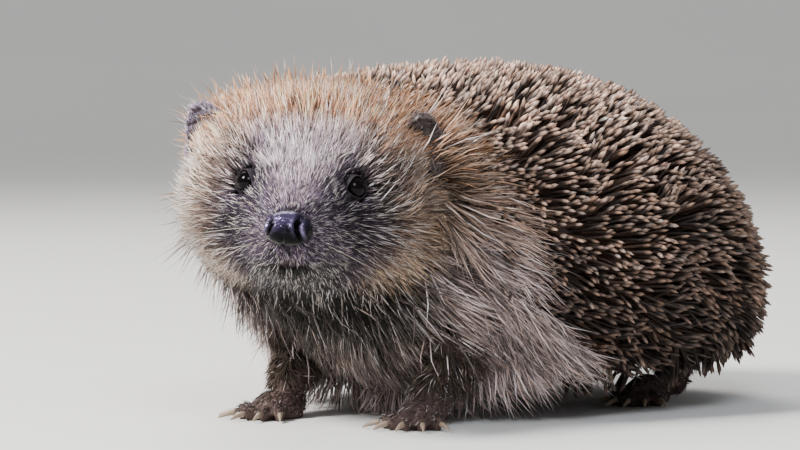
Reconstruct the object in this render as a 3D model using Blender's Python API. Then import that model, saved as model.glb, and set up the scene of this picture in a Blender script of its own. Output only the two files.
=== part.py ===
"""A European hedgehog at life size, crouched on its four feet with its head turned to its left.

The body is a run of cross-sections along one bent axis, from the nose tip to the rump. Head, neck and
trunk are lengths of that run: out to the tips of the fur where they show, and to the skin under the
spines. The spine coat is a second, wider run laid over them as a shell, open under the belly. Ears, eyes,
nose, legs, paws, claws and tail are their own pieces.
+X is the animal's left, -Y is where the trunk points, +Z is up, and the soles stand at Z = 0.
"""

import math
from collections import namedtuple

import bmesh
import bpy
from mathutils import Matrix, Vector

MM = 0.001
GAP = 0.3 * MM  # clearance between pieces that meet

# Driving dimensions.
AXIS_LENGTH = 234 * MM  # nose tip to rump along the body's axis
RUMP_Y = 114.9 * MM
HEAD_YAW = math.radians(30)  # the head's turn to the animal's left
HEAD_ROLL = math.radians(3)  # the head's lean to the animal's left
NECK_BEND = (40 * MM, 81 * MM)  # where the head's straight axis starts and ends its turn into the trunk's
HEAD_END = 58 * MM
NECK_END = 83 * MM
TRUNK_CAP = (153 * MM, 222 * MM)  # over this length the trunk closes round the rump
COAT_CAP = (160 * MM, 234 * MM)
COAT_START = 37 * MM
COAT_END = 233.4 * MM
COAT_RINGS = 20
SKIRT_THICK = 9 * MM  # width of the coat's lower rim
HOLLOW_DEPTH = 9 * MM  # how far the space under the belly is cut below the floor
AXIS_STEP = 1 * MM
ROLL_AXIS_LEVEL = 60 * MM

BELLY_HOLLOW = (84 * MM, 218 * MM)  # the length of that space along the axis

# Places in the head are given as behind the nose tip, aside from the middle, and level above the floor.
EYE_PLACE = (26.8 * MM, 14.0 * MM, 67.3 * MM)
EYE_RADIUS = 2.9 * MM
EYE_BOWL = (4.3 * MM, 3.8 * MM, 3.0 * MM)  # the parting in the fur round an eye, which leaves it in view
EAR_PLACE = (47.5 * MM, 28.2 * MM, 77.9 * MM)
EAR_HEIGHT = 18.5 * MM
EAR_WIDTH = 15.0 * MM
EAR_DEPTH = 7.4 * MM
EAR_WALL = 1.15 * MM
EAR_CUP_SHIFT = 2.8 * MM
NOSE_PLACE = (3.2 * MM, 57.0 * MM)
NOSE_DEPTH = 10.2 * MM
NOSE_WIDTH = 12.8 * MM
NOSE_HEIGHT = 9.6 * MM
NOSTRIL_TILT = math.radians(28)
MOUTH_START = 6.6 * MM  # behind the nose tip, at the middle of the slit
MOUTH_REACH = 11.0 * MM  # how much further back its corners are
MOUTH_HALF = 7.5 * MM
MOUTH_LEVEL = 48.8 * MM
MOUTH_RISE = 1.0 * MM
MOUTH_STEPS = 12
SLIT_HALF_THICK = 0.4 * MM
SLIT_OUTWARD = 4.3 * MM
SLIT_INWARD = 0.4 * MM
MUZZLE_CENTRE = 21.1 * MM

TOES = 5
TOE_LENGTH = 7.0 * MM
PALM_HEIGHT = 5.5 * MM
TOE_LEVEL = 2.65 * MM
TOE_DROP = 0.6 * MM
TOE_PROFILE = ((0.0, 1.75 * MM), (0.45, 2.1 * MM), (0.8, 1.95 * MM), (1.0, 1.2 * MM))
CLAW_LENGTH = 5.3 * MM
CLAW_DROP = 1.4 * MM
CLAW_BASE = 0.9 * MM
CLAW_TIP = 0.3 * MM
TAIL_START = Vector((0, 83, 17.5)) * MM
TAIL_END = Vector((0, 97, 6.2)) * MM
TAIL_TIP = 0.8 * MM
TAIL_TAPER = 4.0 * MM

# Outer form of the fur. A station is a distance behind the nose tip, the level of the widest line, the half
# width there, and the levels of top and bottom.
Station = namedtuple("Station", "at level half top bottom")
FUR = [
    Station(*(value * MM for value in row))
    for row in (
        (2.65, 56.8, 5.5, 61.8, 51.9),  # behind the nose pad
        (7.9, 56.3, 8.1, 63.8, 47.1),  # upper lip
        (15.8, 57.2, 12.5, 68.2, 42.7),  # corner of the mouth
        (25.5, 60.3, 17.4, 74.8, 41.8),  # eyes
        (35.2, 61.6, 26.0, 81.0, 40.0),  # brow
        (44.0, 61.6, 31.5, 84.9, 39.6),  # crown
        (52.8, 60.3, 34.6, 86.2, 37.0),  # ears
        (66.9, 55.4, 36.5, 85.4, 28.2),  # nape
        (83.6, 47.5, 41.4, 84.5, 15.8),  # shoulders
        (107.4, 37.0, 51.5, 85.4, 7.0),  # chest
        (136.4, 29.9, 60.3, 86.2, 9.7),  # belly
        (171.6, 27.3, 62.0, 85.4, 11.4),  # loin
        (221.8, 27.3, 61.2, 83.6, 11.4),  # rump
    )
]

# Outer form of the spines, out to their tips. The last value is the level of the coat's lower rim.
SPINES = [
    Station(*(value * MM for value in row))
    for row in (
        (37.0, 61.6, 26.0, 85.8, 80.5),  # brow
        (44.9, 61.6, 29.5, 91.5, 80.5),  # crown
        (52.8, 60.3, 32.6, 94.2, 78.3),  # between the ears
        (61.6, 57.6, 37.8, 95.5, 73.0),  # nape
        (72.2, 52.8, 43.1, 96.4, 60.7),  # neck
        (83.6, 47.5, 48.4, 97.2, 41.4),  # shoulders
        (107.4, 37.0, 60.7, 99.0, 9.7),  # chest
        (136.4, 29.9, 70.8, 99.9, 4.4),  # belly
        (171.6, 27.3, 73.5, 96.4, 4.0),  # loin
        (234.1, 27.3, 72.6, 82.7, 4.4),  # rump
    )
]
SPINE_SKIRT_FLOOR = -3.5 * MM  # where the spines' sections would close if they ran on below the rim

# Start, end, number of rings, whether they crowd towards a closing end, and finish.
BODY_PIECES = {
    "head": (2.65 * MM, HEAD_END, 13, False, "face_fur"),
    "neck": (HEAD_END + GAP, NECK_END, 5, False, "body_fur"),
    "trunk": (NECK_END + GAP, 221 * MM, 12, True, "body_fur"),
}

COLOURS = {
    "spines": ((0.15, 0.105, 0.08), 0.55),
    "face_fur": ((0.36, 0.30, 0.26), 0.85),
    "body_fur": ((0.20, 0.16, 0.135), 0.85),
    "paw_skin": ((0.10, 0.075, 0.07), 0.6),
    "ear_skin": ((0.11, 0.09, 0.09), 0.7),
    "nose_skin": ((0.02, 0.018, 0.025), 0.2),
    "eye": ((0.006, 0.005, 0.006), 0.06),
    "claw": ((0.35, 0.27, 0.20), 0.4),
}


# ---------------------------------------------------------------- small helpers


def clear_scene():
    for obj in list(bpy.data.objects):
        bpy.data.objects.remove(obj)


def material(name):
    found = bpy.data.materials.get(name)
    if found:
        return found
    colour, roughness = COLOURS[name]
    made = bpy.data.materials.new(name)
    made.use_nodes = True
    shader = made.node_tree.nodes["Principled BSDF"]
    shader.inputs["Base Color"].default_value = (*colour, 1.0)
    shader.inputs["Roughness"].default_value = roughness
    return made


def smooth_step(low, high, value):
    t = min(1.0, max(0.0, (value - low) / (high - low)))
    return t * t * (3 - 2 * t)


def interpolate(table, at, field):
    """A column of a station table at a distance along the axis, on a smooth curve through the stations."""
    last = len(table) - 1
    at = min(max(at, table[0].at), table[last].at)
    i = max(k for k in range(last) if table[k].at <= at)
    places = [table[min(max(k, 0), last)] for k in (i - 1, i, i + 1, i + 2)]
    spans = [p.at for p in places]
    values = [getattr(p, field) for p in places]
    width = spans[2] - spans[1]
    start = (values[2] - values[0]) / (spans[2] - spans[0]) * width
    end = (values[3] - values[1]) / (spans[3] - spans[1]) * width
    t = (at - spans[1]) / width
    return (
        (2 * t**3 - 3 * t**2 + 1) * values[1]
        + (t**3 - 2 * t**2 + t) * start
        + (3 * t**2 - 2 * t**3) * values[2]
        + (t**3 - t**2) * end
    )


def power(value, exponent):
    return math.copysign(abs(value) ** exponent, value)


# ---------------------------------------------------------------- the body's axis and its sections


def heading_at(at):
    """Unit vector along the axis towards the nose: the trunk's line, turned smoothly into the head's."""
    turn = HEAD_YAW * (1 - smooth_step(*NECK_BEND, at))
    return Vector((math.sin(turn), -math.cos(turn), 0))


def axis_points():
    """The axis seen from above, in steps from the nose tip back to the rump, walked from the rump."""
    steps = round(AXIS_LENGTH / AXIS_STEP)
    points = [Vector((0, RUMP_Y, 0))]
    for k in range(steps, 0, -1):
        points.append(points[-1] + heading_at((k - 0.5) * AXIS_STEP) * AXIS_STEP)
    return points[::-1]


def axis_point(at):
    k = min(max(int(at / AXIS_STEP), 0), len(AXIS) - 1)
    return AXIS[k] - heading_at(at) * (at - k * AXIS_STEP)


def body_point(at, sideways, level):
    """A point of the section at a distance behind the nose, in world space. Sideways is to the left."""
    forward = heading_at(at)
    left = Vector((-forward.y, forward.x, 0))
    roll = HEAD_ROLL * (1 - smooth_step(HEAD_END, AXIS_LENGTH / 2, at))
    across = sideways * math.cos(roll) + (level - ROLL_AXIS_LEVEL) * math.sin(roll)
    height = ROLL_AXIS_LEVEL + (level - ROLL_AXIS_LEVEL) * math.cos(roll) - sideways * math.sin(roll)
    return axis_point(at) + left * across + Vector((0, 0, height))


AXIS = axis_points()


def rump_cap(at, start, end):
    """Share of a section's size that is left where the body closes round the rump."""
    t = max(0.0, (at - start) / (end - start))
    return (1 - t**2.2) ** 0.52 if t < 1 else 0.0


def crown_fullness(at):
    """Exponent of a section's upper half: broad and flat over the crown, round from the shoulders back."""
    return 0.72 + 0.22 * smooth_step(48 * MM, 97 * MM, at) + 0.22 * smooth_step(35 * MM, 13 * MM, at)


def fur_section(at, turn, grow=0.0):
    """Across and level of a point of the fur's outline. Turn goes from the left side over the back."""
    level, half, top, bottom = (interpolate(FUR, at, f) for f in ("level", "half", "top", "bottom"))
    cap = rump_cap(at, *TRUNK_CAP)
    c, s = math.cos(turn), math.sin(turn)
    rise, fullness = (top - level, crown_fullness(at)) if s > 0 else (level - bottom, 0.88)
    across = half * cap * power(c, fullness) + grow * c
    height = level + rise * cap * power(s, fullness) + grow * s
    return across, height


def spine_section(at, turn, grow=0.0):
    """Across and level of a point of the spines' outline, before it is cut at the rim."""
    level, half, top = (interpolate(SPINES, at, f) for f in ("level", "half", "top"))
    cap = rump_cap(at, *COAT_CAP)
    c, s = math.cos(turn), math.sin(turn)
    if s > 0:
        fullness = crown_fullness(at)
        rise = (top - level) * cap * power(s, fullness)
        return half * cap * power(c, fullness) + grow * c, level + rise + grow * s
    drop = level - SPINE_SKIRT_FLOOR
    return half * cap * power(c, 0.5) + grow * c, level + drop * power(s, 0.6)


def rim_turn(at, rim):
    """The turn at which the spines' outline reaches the rim's level."""
    level, top = (interpolate(SPINES, at, f) for f in ("level", "top"))
    if rim >= level:
        share = (rim - level) / (top - level)
        return math.asin(share ** (1 / crown_fullness(at)))
    return -math.asin(((level - rim) / (level - SPINE_SKIRT_FLOOR)) ** (1 / 0.6))


# ---------------------------------------------------------------- building meshes


def add_object(name, mesh, colour, smooth_angle=50):
    mesh.materials.append(material(colour))
    mesh.shade_smooth()
    mesh.set_sharp_from_angle(angle=math.radians(smooth_angle))
    obj = bpy.data.objects.new(name, mesh)
    bpy.context.scene.collection.objects.link(obj)
    return obj


def mesh_from(name, bm):
    bmesh.ops.recalc_face_normals(bm, faces=bm.faces)
    mesh = bpy.data.meshes.new(name)
    bm.to_mesh(mesh)
    bm.free()
    return mesh


def loft(name, rings):
    """A closed body through rings of points with equal counts, and flat ends.

    Its sides are triangles split the same way everywhere, so that a grown copy clears it evenly.
    """
    bm = bmesh.new()
    rows = [[bm.verts.new(point) for point in ring] for ring in rings]
    for row, following in zip(rows, rows[1:]):
        for i in range(len(row)):
            j = (i + 1) % len(row)
            bm.faces.new((row[i], row[j], following[j]))
            bm.faces.new((row[i], following[j], following[i]))
    bm.faces.new(rows[0])
    bm.faces.new(reversed(rows[-1]))
    return mesh_from(name, bm)


def end_shift(i, last, grow):
    """How far a ring moves along the axis in a grown copy: only the first and last do."""
    return grow * (i == last) - grow * (i == 0)


def fur_loft(name, start, end, rings, around=26, grow=0.0, ease=False):
    """A length of the furred body. With ease, the rings crowd towards the end, which closes."""
    turns = [2 * math.pi * k / around for k in range(around)]
    sections = []
    for i in range(rings + 1):
        share = i / rings
        at = start + (end - start) * (math.sin(share * math.pi / 2) if ease else share)
        place = at + end_shift(i, rings, grow)
        sections.append([body_point(place, *fur_section(at, turn, grow)) for turn in turns])
    return loft(name, sections)


def spine_loft(name, start, end, rings, over=24, under=2, grow=0.0):
    """The spine coat: an arc over the back from rim to rim, closed by a flat underside."""
    sections = []
    for i in range(rings + 1):
        at = start + (end - start) * math.sin(i / rings * math.pi / 2) ** 0.9
        place = at + end_shift(i, rings, grow)
        rim = interpolate(SPINES, at, "bottom")
        low = rim_turn(at, rim)
        arc = [spine_section(at, low + (math.pi - 2 * low) * k / over, grow) for k in range(over + 1)]
        left, right = arc[0][0], arc[-1][0]
        base = [(right + (left - right) * k / (under + 1), rim) for k in range(1, under + 1)]
        arc[0], arc[-1] = (left, rim), (right, rim)
        outline = [(across, level - grow * (level <= rim)) for across, level in arc + base]
        sections.append([body_point(place, across, level) for across, level in outline])
    return loft(name, sections)


def hollow_loft(name, start, end, rings):
    """The space under the belly: the coat's outline less its thickness, from its widest line down."""
    sections = []
    for i in range(rings + 1):
        at = start + (end - start) * i / rings
        level = interpolate(SPINES, at, "level")
        widest = spine_section(at, 0)[0] - SKIRT_THICK
        at_rim = spine_section(at, rim_turn(at, interpolate(SPINES, at, "bottom")))[0] - SKIRT_THICK
        outline = ((widest, level), (-widest, level), (-at_rim, 0), (-at_rim, -HOLLOW_DEPTH))
        outline += ((at_rim, -HOLLOW_DEPTH), (at_rim, 0))
        sections.append([body_point(at, across, height) for across, height in outline])
    return loft(name, sections)


def ellipsoid(name, centre, radii, rotation=None, segments=20, rings=12):
    bm = bmesh.new()
    bmesh.ops.create_uvsphere(bm, u_segments=segments, v_segments=rings, radius=1)
    place = Matrix.Translation(centre) @ (rotation or Matrix()) @ Matrix.Diagonal((*radii, 1))
    bmesh.ops.transform(bm, matrix=place, verts=bm.verts)
    return mesh_from(name, bm)


def tube(name, path, around=14, start_turn=0.0):
    """A closed body round a path of (centre, radius across, radius along the second axis)."""
    rings = []
    side = (path[-1][0] - path[0][0]).cross(Vector((0, 0, 1))).normalized()
    for i, (centre, wide, deep) in enumerate(path):
        before, after = path[max(i - 1, 0)][0], path[min(i + 1, len(path) - 1)][0]
        along = (after - before).normalized()
        side = (side - along * side.dot(along)).normalized()
        front = side.cross(along)
        turns = [start_turn + 2 * math.pi * k / around for k in range(around)]
        rings.append([centre + side * wide * math.cos(t) + front * deep * math.sin(t) for t in turns])
    return loft(name, rings)


def helper(name, mesh):
    """A cutter: it shapes other pieces and isn't one itself."""
    obj = bpy.data.objects.new(name, mesh)
    bpy.context.scene.collection.objects.link(obj)
    obj.hide_render = True
    obj.display_type = "WIRE"
    return obj


def boolean(obj, other, operation="DIFFERENCE"):
    modifier = obj.modifiers.new(f"{operation.lower()} {other.name}", "BOOLEAN")
    modifier.operation = operation
    modifier.object = other
    modifier.solver = "EXACT"


# ---------------------------------------------------------------- head, neck and trunk


def build_body():
    """Head, neck and trunk, each with a seat: the same form grown by the gap, which cuts what meets it."""
    seats = {}
    for name, (start, end, rings, ease, colour) in BODY_PIECES.items():
        add_object(name, fur_loft(name, start, end, rings, ease=ease), colour)
        seat_name = name + "_seat"
        seats[name] = helper(seat_name, fur_loft(seat_name, start, end, rings, ease=ease, grow=GAP))
    return bpy.data.objects["head"], seats


def build_spine_coat(seats):
    """The coat fits over the body with the gap, and is hollowed out under the belly."""
    coat = add_object("spine_coat", spine_loft("spine_coat", COAT_START, COAT_END, COAT_RINGS), "spines")
    for seat in seats:
        boolean(coat, seat)
    boolean(coat, helper("belly_hollow", hollow_loft("belly_hollow", *BELLY_HOLLOW, 9)))
    return helper("coat_seat", spine_loft("coat_seat", COAT_START, COAT_END, COAT_RINGS, grow=GAP))


def face_frame(at):
    """Forward, left and up of the head, and the matrix that turns X, Y, Z into them."""
    forward = heading_at(at)
    left = Vector((-forward.y, forward.x, 0))
    roll = Matrix.Rotation(HEAD_ROLL, 3, forward)
    left = roll @ left
    up = forward.cross(left)
    return forward, left, up, Matrix((forward, left, up)).transposed().to_4x4()


def place_in_head(place, side):
    at, aside, level = place
    return body_point(at, side * aside, level)


def build_eyes(head):
    """Each eye sits in a shallow parting of the fur, turned outwards and a little forwards and up."""
    forward, left, up, _ = face_frame(EYE_PLACE[0])
    for side, name in ((1, "eye_left"), (-1, "eye_right")):
        centre = place_in_head(EYE_PLACE, side)
        eye = ellipsoid(name, centre, (EYE_RADIUS,) * 3, segments=14, rings=8)
        add_object(name, eye, "eye", smooth_angle=180)
        socket = ellipsoid(name + "_socket", centre, (EYE_RADIUS + GAP,) * 3, segments=14, rings=8)
        boolean(head, helper(name + "_socket", socket))
        outward = (forward * 0.55 + left * side * 0.70 + up * 0.32).normalized()
        face_out = outward.to_track_quat("Z", "Y").to_matrix().to_4x4()
        bowl = ellipsoid(name + "_bowl", centre + outward * EYE_BOWL[2], EYE_BOWL, face_out, 14, 8)
        boolean(head, helper(name + "_bowl", bowl))


def build_nose(head):
    """A rounded pad, wider than high, with a nostril cut into each side and a groove down its front."""
    at, level = NOSE_PLACE
    forward, left, up, turn = face_frame(at)
    centre = body_point(at, 0, level)
    radii = (NOSE_DEPTH / 2, NOSE_WIDTH / 2, NOSE_HEIGHT / 2)
    nose = add_object("nose", ellipsoid("nose", centre, radii, turn, 16, 9), "nose_skin")
    boolean(head, helper("nose_seat", ellipsoid("nose_seat", centre, [r + GAP for r in radii], turn, 16, 9)))
    for side in (1, -1):
        opening = centre + forward * 3.7 * MM + left * side * 4.7 * MM - up * 0.25 * MM
        tilt = Matrix.Rotation(-NOSTRIL_TILT * side, 4, "X")
        nostril = ellipsoid(f"nostril{side}", opening, (1.95 * MM, 0.9 * MM, 1.5 * MM), turn @ tilt, 8, 5)
        boolean(nose, helper(f"nostril{side}", nostril))
    groove_centre = centre + forward * 5.2 * MM - up * 2.65 * MM
    groove = ellipsoid("nose_groove", groove_centre, (0.9 * MM, 0.4 * MM, 2.8 * MM), turn, 8, 6)
    boolean(nose, helper("nose_groove", groove))


def build_mouth(head):
    """The closed mouth: a thin curved slit under the nose, cut into the muzzle from both sides."""
    middle = body_point(MUZZLE_CENTRE, 0, 0)
    rise = Vector((0, 0, SLIT_HALF_THICK))
    rings = []
    for k in range(MOUTH_STEPS + 1):
        share = 2 * k / MOUTH_STEPS - 1
        at = MOUTH_START + MOUTH_REACH * abs(share) ** 1.6
        centre = body_point(at, MOUTH_HALF * share, MOUTH_LEVEL + MOUTH_RISE * abs(share))
        outward = Vector((centre.x - middle.x, centre.y - middle.y, 0)).normalized()
        inner = centre - outward * SLIT_INWARD
        rings.append((centre + outward * SLIT_OUTWARD, inner + rise, inner - rise))
    boolean(head, helper("mouth_slit", loft("mouth_slit", rings)))


def build_ears(body_seats, coat):
    """A rounded cup on each side of the head, open forwards and outwards, let into the front of the coat."""
    forward, left, up, _ = face_frame(EAR_PLACE[0])
    for side, name in ((1, "ear_left"), (-1, "ear_right")):
        centre = place_in_head(EAR_PLACE, side)
        facing = (forward * 0.80 + left * side * 0.60).normalized()
        rise = (up + left * side * 0.35).normalized()
        across = rise.cross(facing).normalized()
        frame = Matrix((facing, across, facing.cross(across))).transposed().to_4x4()
        radii = (EAR_DEPTH / 2, EAR_WIDTH / 2, EAR_HEIGHT / 2)
        ear = add_object(name, ellipsoid(name, centre, radii, frame, 14, 8), "ear_skin")
        seat = ellipsoid(name + "_seat", centre, [r + GAP for r in radii], frame, 14, 8)
        boolean(coat, helper(name + "_seat", seat))
        cup_radii = (radii[0], radii[1] - EAR_WALL, radii[2] - EAR_WALL)
        cup = ellipsoid(name + "_cup", centre + facing * EAR_CUP_SHIFT, cup_radii, frame, 12, 6)
        boolean(ear, helper(name + "_cup", cup))
        for body_seat in body_seats:
            boolean(ear, body_seat)


# ---------------------------------------------------------------- legs, paws, claws and tail

Limb = namedtuple("Limb", "name sole heading hip knee ankle thick sole_length sole_width toe_fan")


def limb_list():
    """The four limbs. Sole is the middle of the paw's palm on the floor; heading is where its toes point."""
    limbs = []
    for side, word in ((1, "left"), (-1, "right")):
        fore = Limb(
            name=f"fore{{}}_{word}",
            sole=Vector((side * 24, -42.5, 0)) * MM,
            heading=math.radians(side * 12),
            hip=Vector((side * 26.5, -23, 33.5)) * MM,
            knee=Vector((side * 27.5, -28.5, 19.5)) * MM,
            ankle=Vector((side * 24, -38, 7.5)) * MM,
            thick=(10.1 * MM, 7.9 * MM, 5.3 * MM),
            sole_length=13.2 * MM,
            sole_width=12.3 * MM,
            toe_fan=math.radians(50),
        )
        hind = Limb(
            name=f"hind{{}}_{word}",
            sole=Vector((side * 35, 56, 0)) * MM,
            heading=math.radians(side * 14),
            hip=Vector((side * 33.5, 65, 30)) * MM,
            knee=Vector((side * 37, 70, 17.5)) * MM,
            ankle=Vector((side * 36.5, 66.5, 8)) * MM,
            thick=(11.4 * MM, 8.4 * MM, 5.3 * MM),
            sole_length=24.6 * MM,
            sole_width=11.9 * MM,
            toe_fan=math.radians(34),
        )
        limbs += [fore, hind]
    return limbs


def build_leg(limb, body_seats):
    wide, middle, slim = limb.thick
    path = [
        (limb.hip, wide, wide * 1.1),
        (limb.hip.lerp(limb.knee, 0.6), wide * 0.95, wide * 1.05),
        (limb.knee, middle, middle * 1.1),
        (limb.knee.lerp(limb.ankle, 0.55), (middle + slim) / 2, (middle + slim) / 2),
        (limb.ankle, slim, slim),
        (limb.ankle + (limb.ankle - limb.knee).normalized() * 2.65 * MM, slim * 0.8, slim * 0.8),
    ]
    name = limb.name.format("leg")
    leg = add_object(name, tube(name, path, around=10), "body_fur")
    for seat in body_seats:
        boolean(leg, seat)
    return leg, path


def toe_directions(limb):
    """Root, tip and heading of each toe, fanned round the front of the palm."""
    ahead = Vector((math.sin(limb.heading), -math.cos(limb.heading), 0))
    aside = Vector((math.cos(limb.heading), math.sin(limb.heading), 0))
    for k in range(TOES):
        share = 2 * k / (TOES - 1) - 1
        turn = limb.toe_fan * share
        heading = ahead * math.cos(turn) + aside * math.sin(turn)
        reach = 1 - 0.22 * share * share
        root = limb.sole + ahead * limb.sole_length * (0.40 - 0.12 * share * share)
        root = root + aside * share * limb.sole_width * 0.36 + Vector((0, 0, TOE_LEVEL))
        tip = root + heading * TOE_LENGTH * reach - Vector((0, 0, TOE_DROP))
        yield root, tip, heading


def build_paw(limb, leg_path, floor):
    """Palm and five toes in one piece, cut flat at the floor. Each toe ends where its claw meets it."""
    name = limb.name.format("paw")
    ahead_turn = Matrix.Rotation(limb.heading, 4, "Z")
    palm_radii = (limb.sole_width / 2, limb.sole_length / 2 + 2.2 * MM, PALM_HEIGHT)
    palm_centre = limb.sole + Vector((0, 0, PALM_HEIGHT / 2))
    paw = add_object(name, ellipsoid(name, palm_centre, palm_radii, ahead_turn, 12, 6), "paw_skin")
    for k, (root, tip, _) in enumerate(toe_directions(limb)):
        path = [(root.lerp(tip, share), radius, radius * 1.05) for share, radius in TOE_PROFILE]
        toe = helper(f"{name}_toe{k + 1}", tube(f"{name}_toe{k + 1}", path, around=6, start_turn=0.2))
        boolean(paw, toe, "UNION")
    boolean(paw, floor)
    ankle_path = [(centre, wide + GAP, deep + GAP) for centre, wide, deep in leg_path]
    boolean(paw, helper(name + "_ankle", tube(name + "_ankle", ankle_path, around=10)))


def build_claws(limb):
    """One tapered, down-curved claw in front of each toe's flat end."""
    for k, (root, tip, heading) in enumerate(toe_directions(limb)):
        name = f"{limb.name.format('claw')}_{k + 1}"
        start = tip + (tip - root).normalized() * GAP
        path = []
        for i in range(4):
            share = i / 3
            centre = start + heading * CLAW_LENGTH * share
            centre.z -= CLAW_DROP * share**1.8
            radius = CLAW_BASE * (1 - share) ** 0.8 + CLAW_TIP
            path.append((centre, radius * 0.85, radius))
        add_object(name, tube(name, path, around=5), "claw", smooth_angle=60)


def build_tail(trunk_seat):
    path = []
    for i in range(6):
        share = i / 5
        radius = TAIL_TAPER * (1 - share) ** 0.7 + TAIL_TIP
        path.append((TAIL_START.lerp(TAIL_END, share), radius, radius))
    tail = add_object("tail", tube("tail", path, around=12), "body_fur")
    boolean(tail, trunk_seat)


def build_floor_cutter():
    """Everything below the soles."""
    bm = bmesh.new()
    bmesh.ops.create_cube(bm, size=0.4)
    bmesh.ops.translate(bm, verts=bm.verts, vec=(0, 0, -0.2))
    return helper("floor_cutter", mesh_from("floor_cutter", bm))


def main():
    clear_scene()
    head, seats = build_body()
    coat_seat = build_spine_coat(seats.values())
    build_eyes(head)
    build_nose(head)
    build_mouth(head)
    build_ears((seats["head"], seats["neck"]), bpy.data.objects["spine_coat"])
    floor = build_floor_cutter()
    for limb in limb_list():
        leg, leg_path = build_leg(limb, (seats["neck"], seats["trunk"]))
        if limb.name.startswith("fore"):
            boolean(leg, coat_seat)
        build_paw(limb, leg_path, floor)
        build_claws(limb)
    build_tail(seats["trunk"])


main()
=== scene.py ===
"""Looks of a life-size European hedgehog model: one skin, its coat of hair and spines, eyes, nose, claws.

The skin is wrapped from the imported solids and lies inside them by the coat's depth. Hair and spines are
solid strands rooted on that skin, and they reach out to the solids' outline. +X is the animal's left,
-Y is forward, +Z is up. Lengths are in metres, apart from tables, markings and the nose's form, which are in
millimetres.
"""

import math

import bmesh
import bpy
import numpy as np
from mathutils import Matrix, Vector
from mathutils.bvhtree import BVHTree
from mathutils.kdtree import KDTree


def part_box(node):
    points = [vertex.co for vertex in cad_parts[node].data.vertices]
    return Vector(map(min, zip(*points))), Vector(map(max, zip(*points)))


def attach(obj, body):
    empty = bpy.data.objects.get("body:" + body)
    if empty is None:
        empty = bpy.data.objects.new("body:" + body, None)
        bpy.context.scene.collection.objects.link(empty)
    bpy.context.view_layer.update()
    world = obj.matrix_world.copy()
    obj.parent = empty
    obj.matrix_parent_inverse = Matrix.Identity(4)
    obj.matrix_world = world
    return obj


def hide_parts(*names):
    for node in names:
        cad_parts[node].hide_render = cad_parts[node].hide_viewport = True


MM = 0.001
SIDES = ("left", "right")
BAKE_MAP = "OFBake"
TINT = "tint"
JOIN_REACH = 0.02 * MM
SLIVER_REACH = 0.2 * MM
ON_BODY, ON_LEG, ON_PAW, ON_TAIL, ON_EAR, ON_LID = range(6)  # kinds of place on the skin

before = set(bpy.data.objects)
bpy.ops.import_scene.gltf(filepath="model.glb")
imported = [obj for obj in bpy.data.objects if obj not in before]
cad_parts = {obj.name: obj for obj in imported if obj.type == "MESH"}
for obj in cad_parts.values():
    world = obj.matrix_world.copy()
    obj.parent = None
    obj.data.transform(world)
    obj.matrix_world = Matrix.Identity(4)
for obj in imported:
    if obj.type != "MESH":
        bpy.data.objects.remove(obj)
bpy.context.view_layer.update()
COUNT_SHARE = 1.0


# ---------------------------------------------------------------- small helpers


def smooth(low, high, value):
    """0 to 1 as the value goes from low to high, with soft ends."""
    t = np.clip((value - low) / (high - low), 0, 1)
    return t * t * (3 - 2 * t)


def hump(value, centre, width):
    """1 at the centre, falling off over the width on either side."""
    return np.exp(-(((value - centre) / width) ** 2))


def unit(vectors):
    return vectors / np.maximum(np.linalg.norm(vectors, axis=-1, keepdims=True), 1e-12)


def dot(a, b):
    return (a * b).sum(-1)


def blend(a, b, share):
    return a + (b - a) * share


def table(rows, at):
    """A column read from (place, value) rows in millimetres at places in metres."""
    places, values = zip(*rows)
    return np.interp(at, np.array(places) * MM, np.array(values) * MM)


def linear(red, green, blue):
    """A screen colour of 0-255 steps as linear light."""
    c = np.array((red, green, blue)) / 255
    return np.where(c < 0.04045, c / 12.92, ((c + 0.055) / 1.055) ** 2.4)


def waves(points, size, seed):
    """Smooth random values of about -1 to 1 that change over a distance of size."""
    rng = np.random.default_rng(seed)
    total = np.zeros(points.shape[:-1])
    for _ in range(6):
        direction = unit(rng.normal(size=3)) * 2 * math.pi / (size * rng.uniform(0.7, 1.6))
        total += np.sin(points @ direction + rng.uniform(0, 2 * math.pi))
    return total / 2.6


def node_box(name):
    low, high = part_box(name)
    return np.array(low), np.array(high)


def node_centre(name):
    low, high = node_box(name)
    return (low + high) / 2


def node_tree(names):
    """A search tree over the surfaces of some nodes of the frame."""
    points, faces = [], []
    for name in names:
        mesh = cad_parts[name].data
        start = len(points)
        points += [v.co.copy() for v in mesh.vertices]
        faces += [[start + i for i in p.vertices] for p in mesh.polygons]
    return BVHTree.FromPolygons(points, faces)


def put_in_scene(name, data):
    """A new object that holds the data, linked to the scene."""
    obj = bpy.data.objects.new(name, data)
    bpy.context.scene.collection.objects.link(obj)
    return obj


def from_edit_mesh(name, bm):
    """A new object from an edit mesh, which is then freed."""
    mesh = bpy.data.meshes.new(name)
    bm.to_mesh(mesh)
    bm.free()
    return put_in_scene(name, mesh)


def shade_smooth(mesh):
    mesh.polygons.foreach_set("use_smooth", np.ones(len(mesh.polygons), bool))


def make_mesh(name, points, faces, uv=None, tint=None):
    """A mesh object of equal-sided faces, with its bake map and its colours at the points."""
    faces = np.asarray(faces, np.int32)
    mesh = bpy.data.meshes.new(name)
    mesh.vertices.add(len(points))
    mesh.vertices.foreach_set("co", np.ascontiguousarray(points, np.float32).ravel())
    mesh.loops.add(faces.size)
    mesh.loops.foreach_set("vertex_index", faces.ravel())
    mesh.polygons.add(len(faces))
    mesh.polygons.foreach_set("loop_start", np.arange(0, faces.size, faces.shape[1], dtype=np.int32))
    mesh.update(calc_edges=True)
    shade_smooth(mesh)
    if uv is not None:
        set_bake_map(mesh, uv)
    if tint is not None:
        paint(mesh, tint)
    return put_in_scene(name, mesh)


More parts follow.
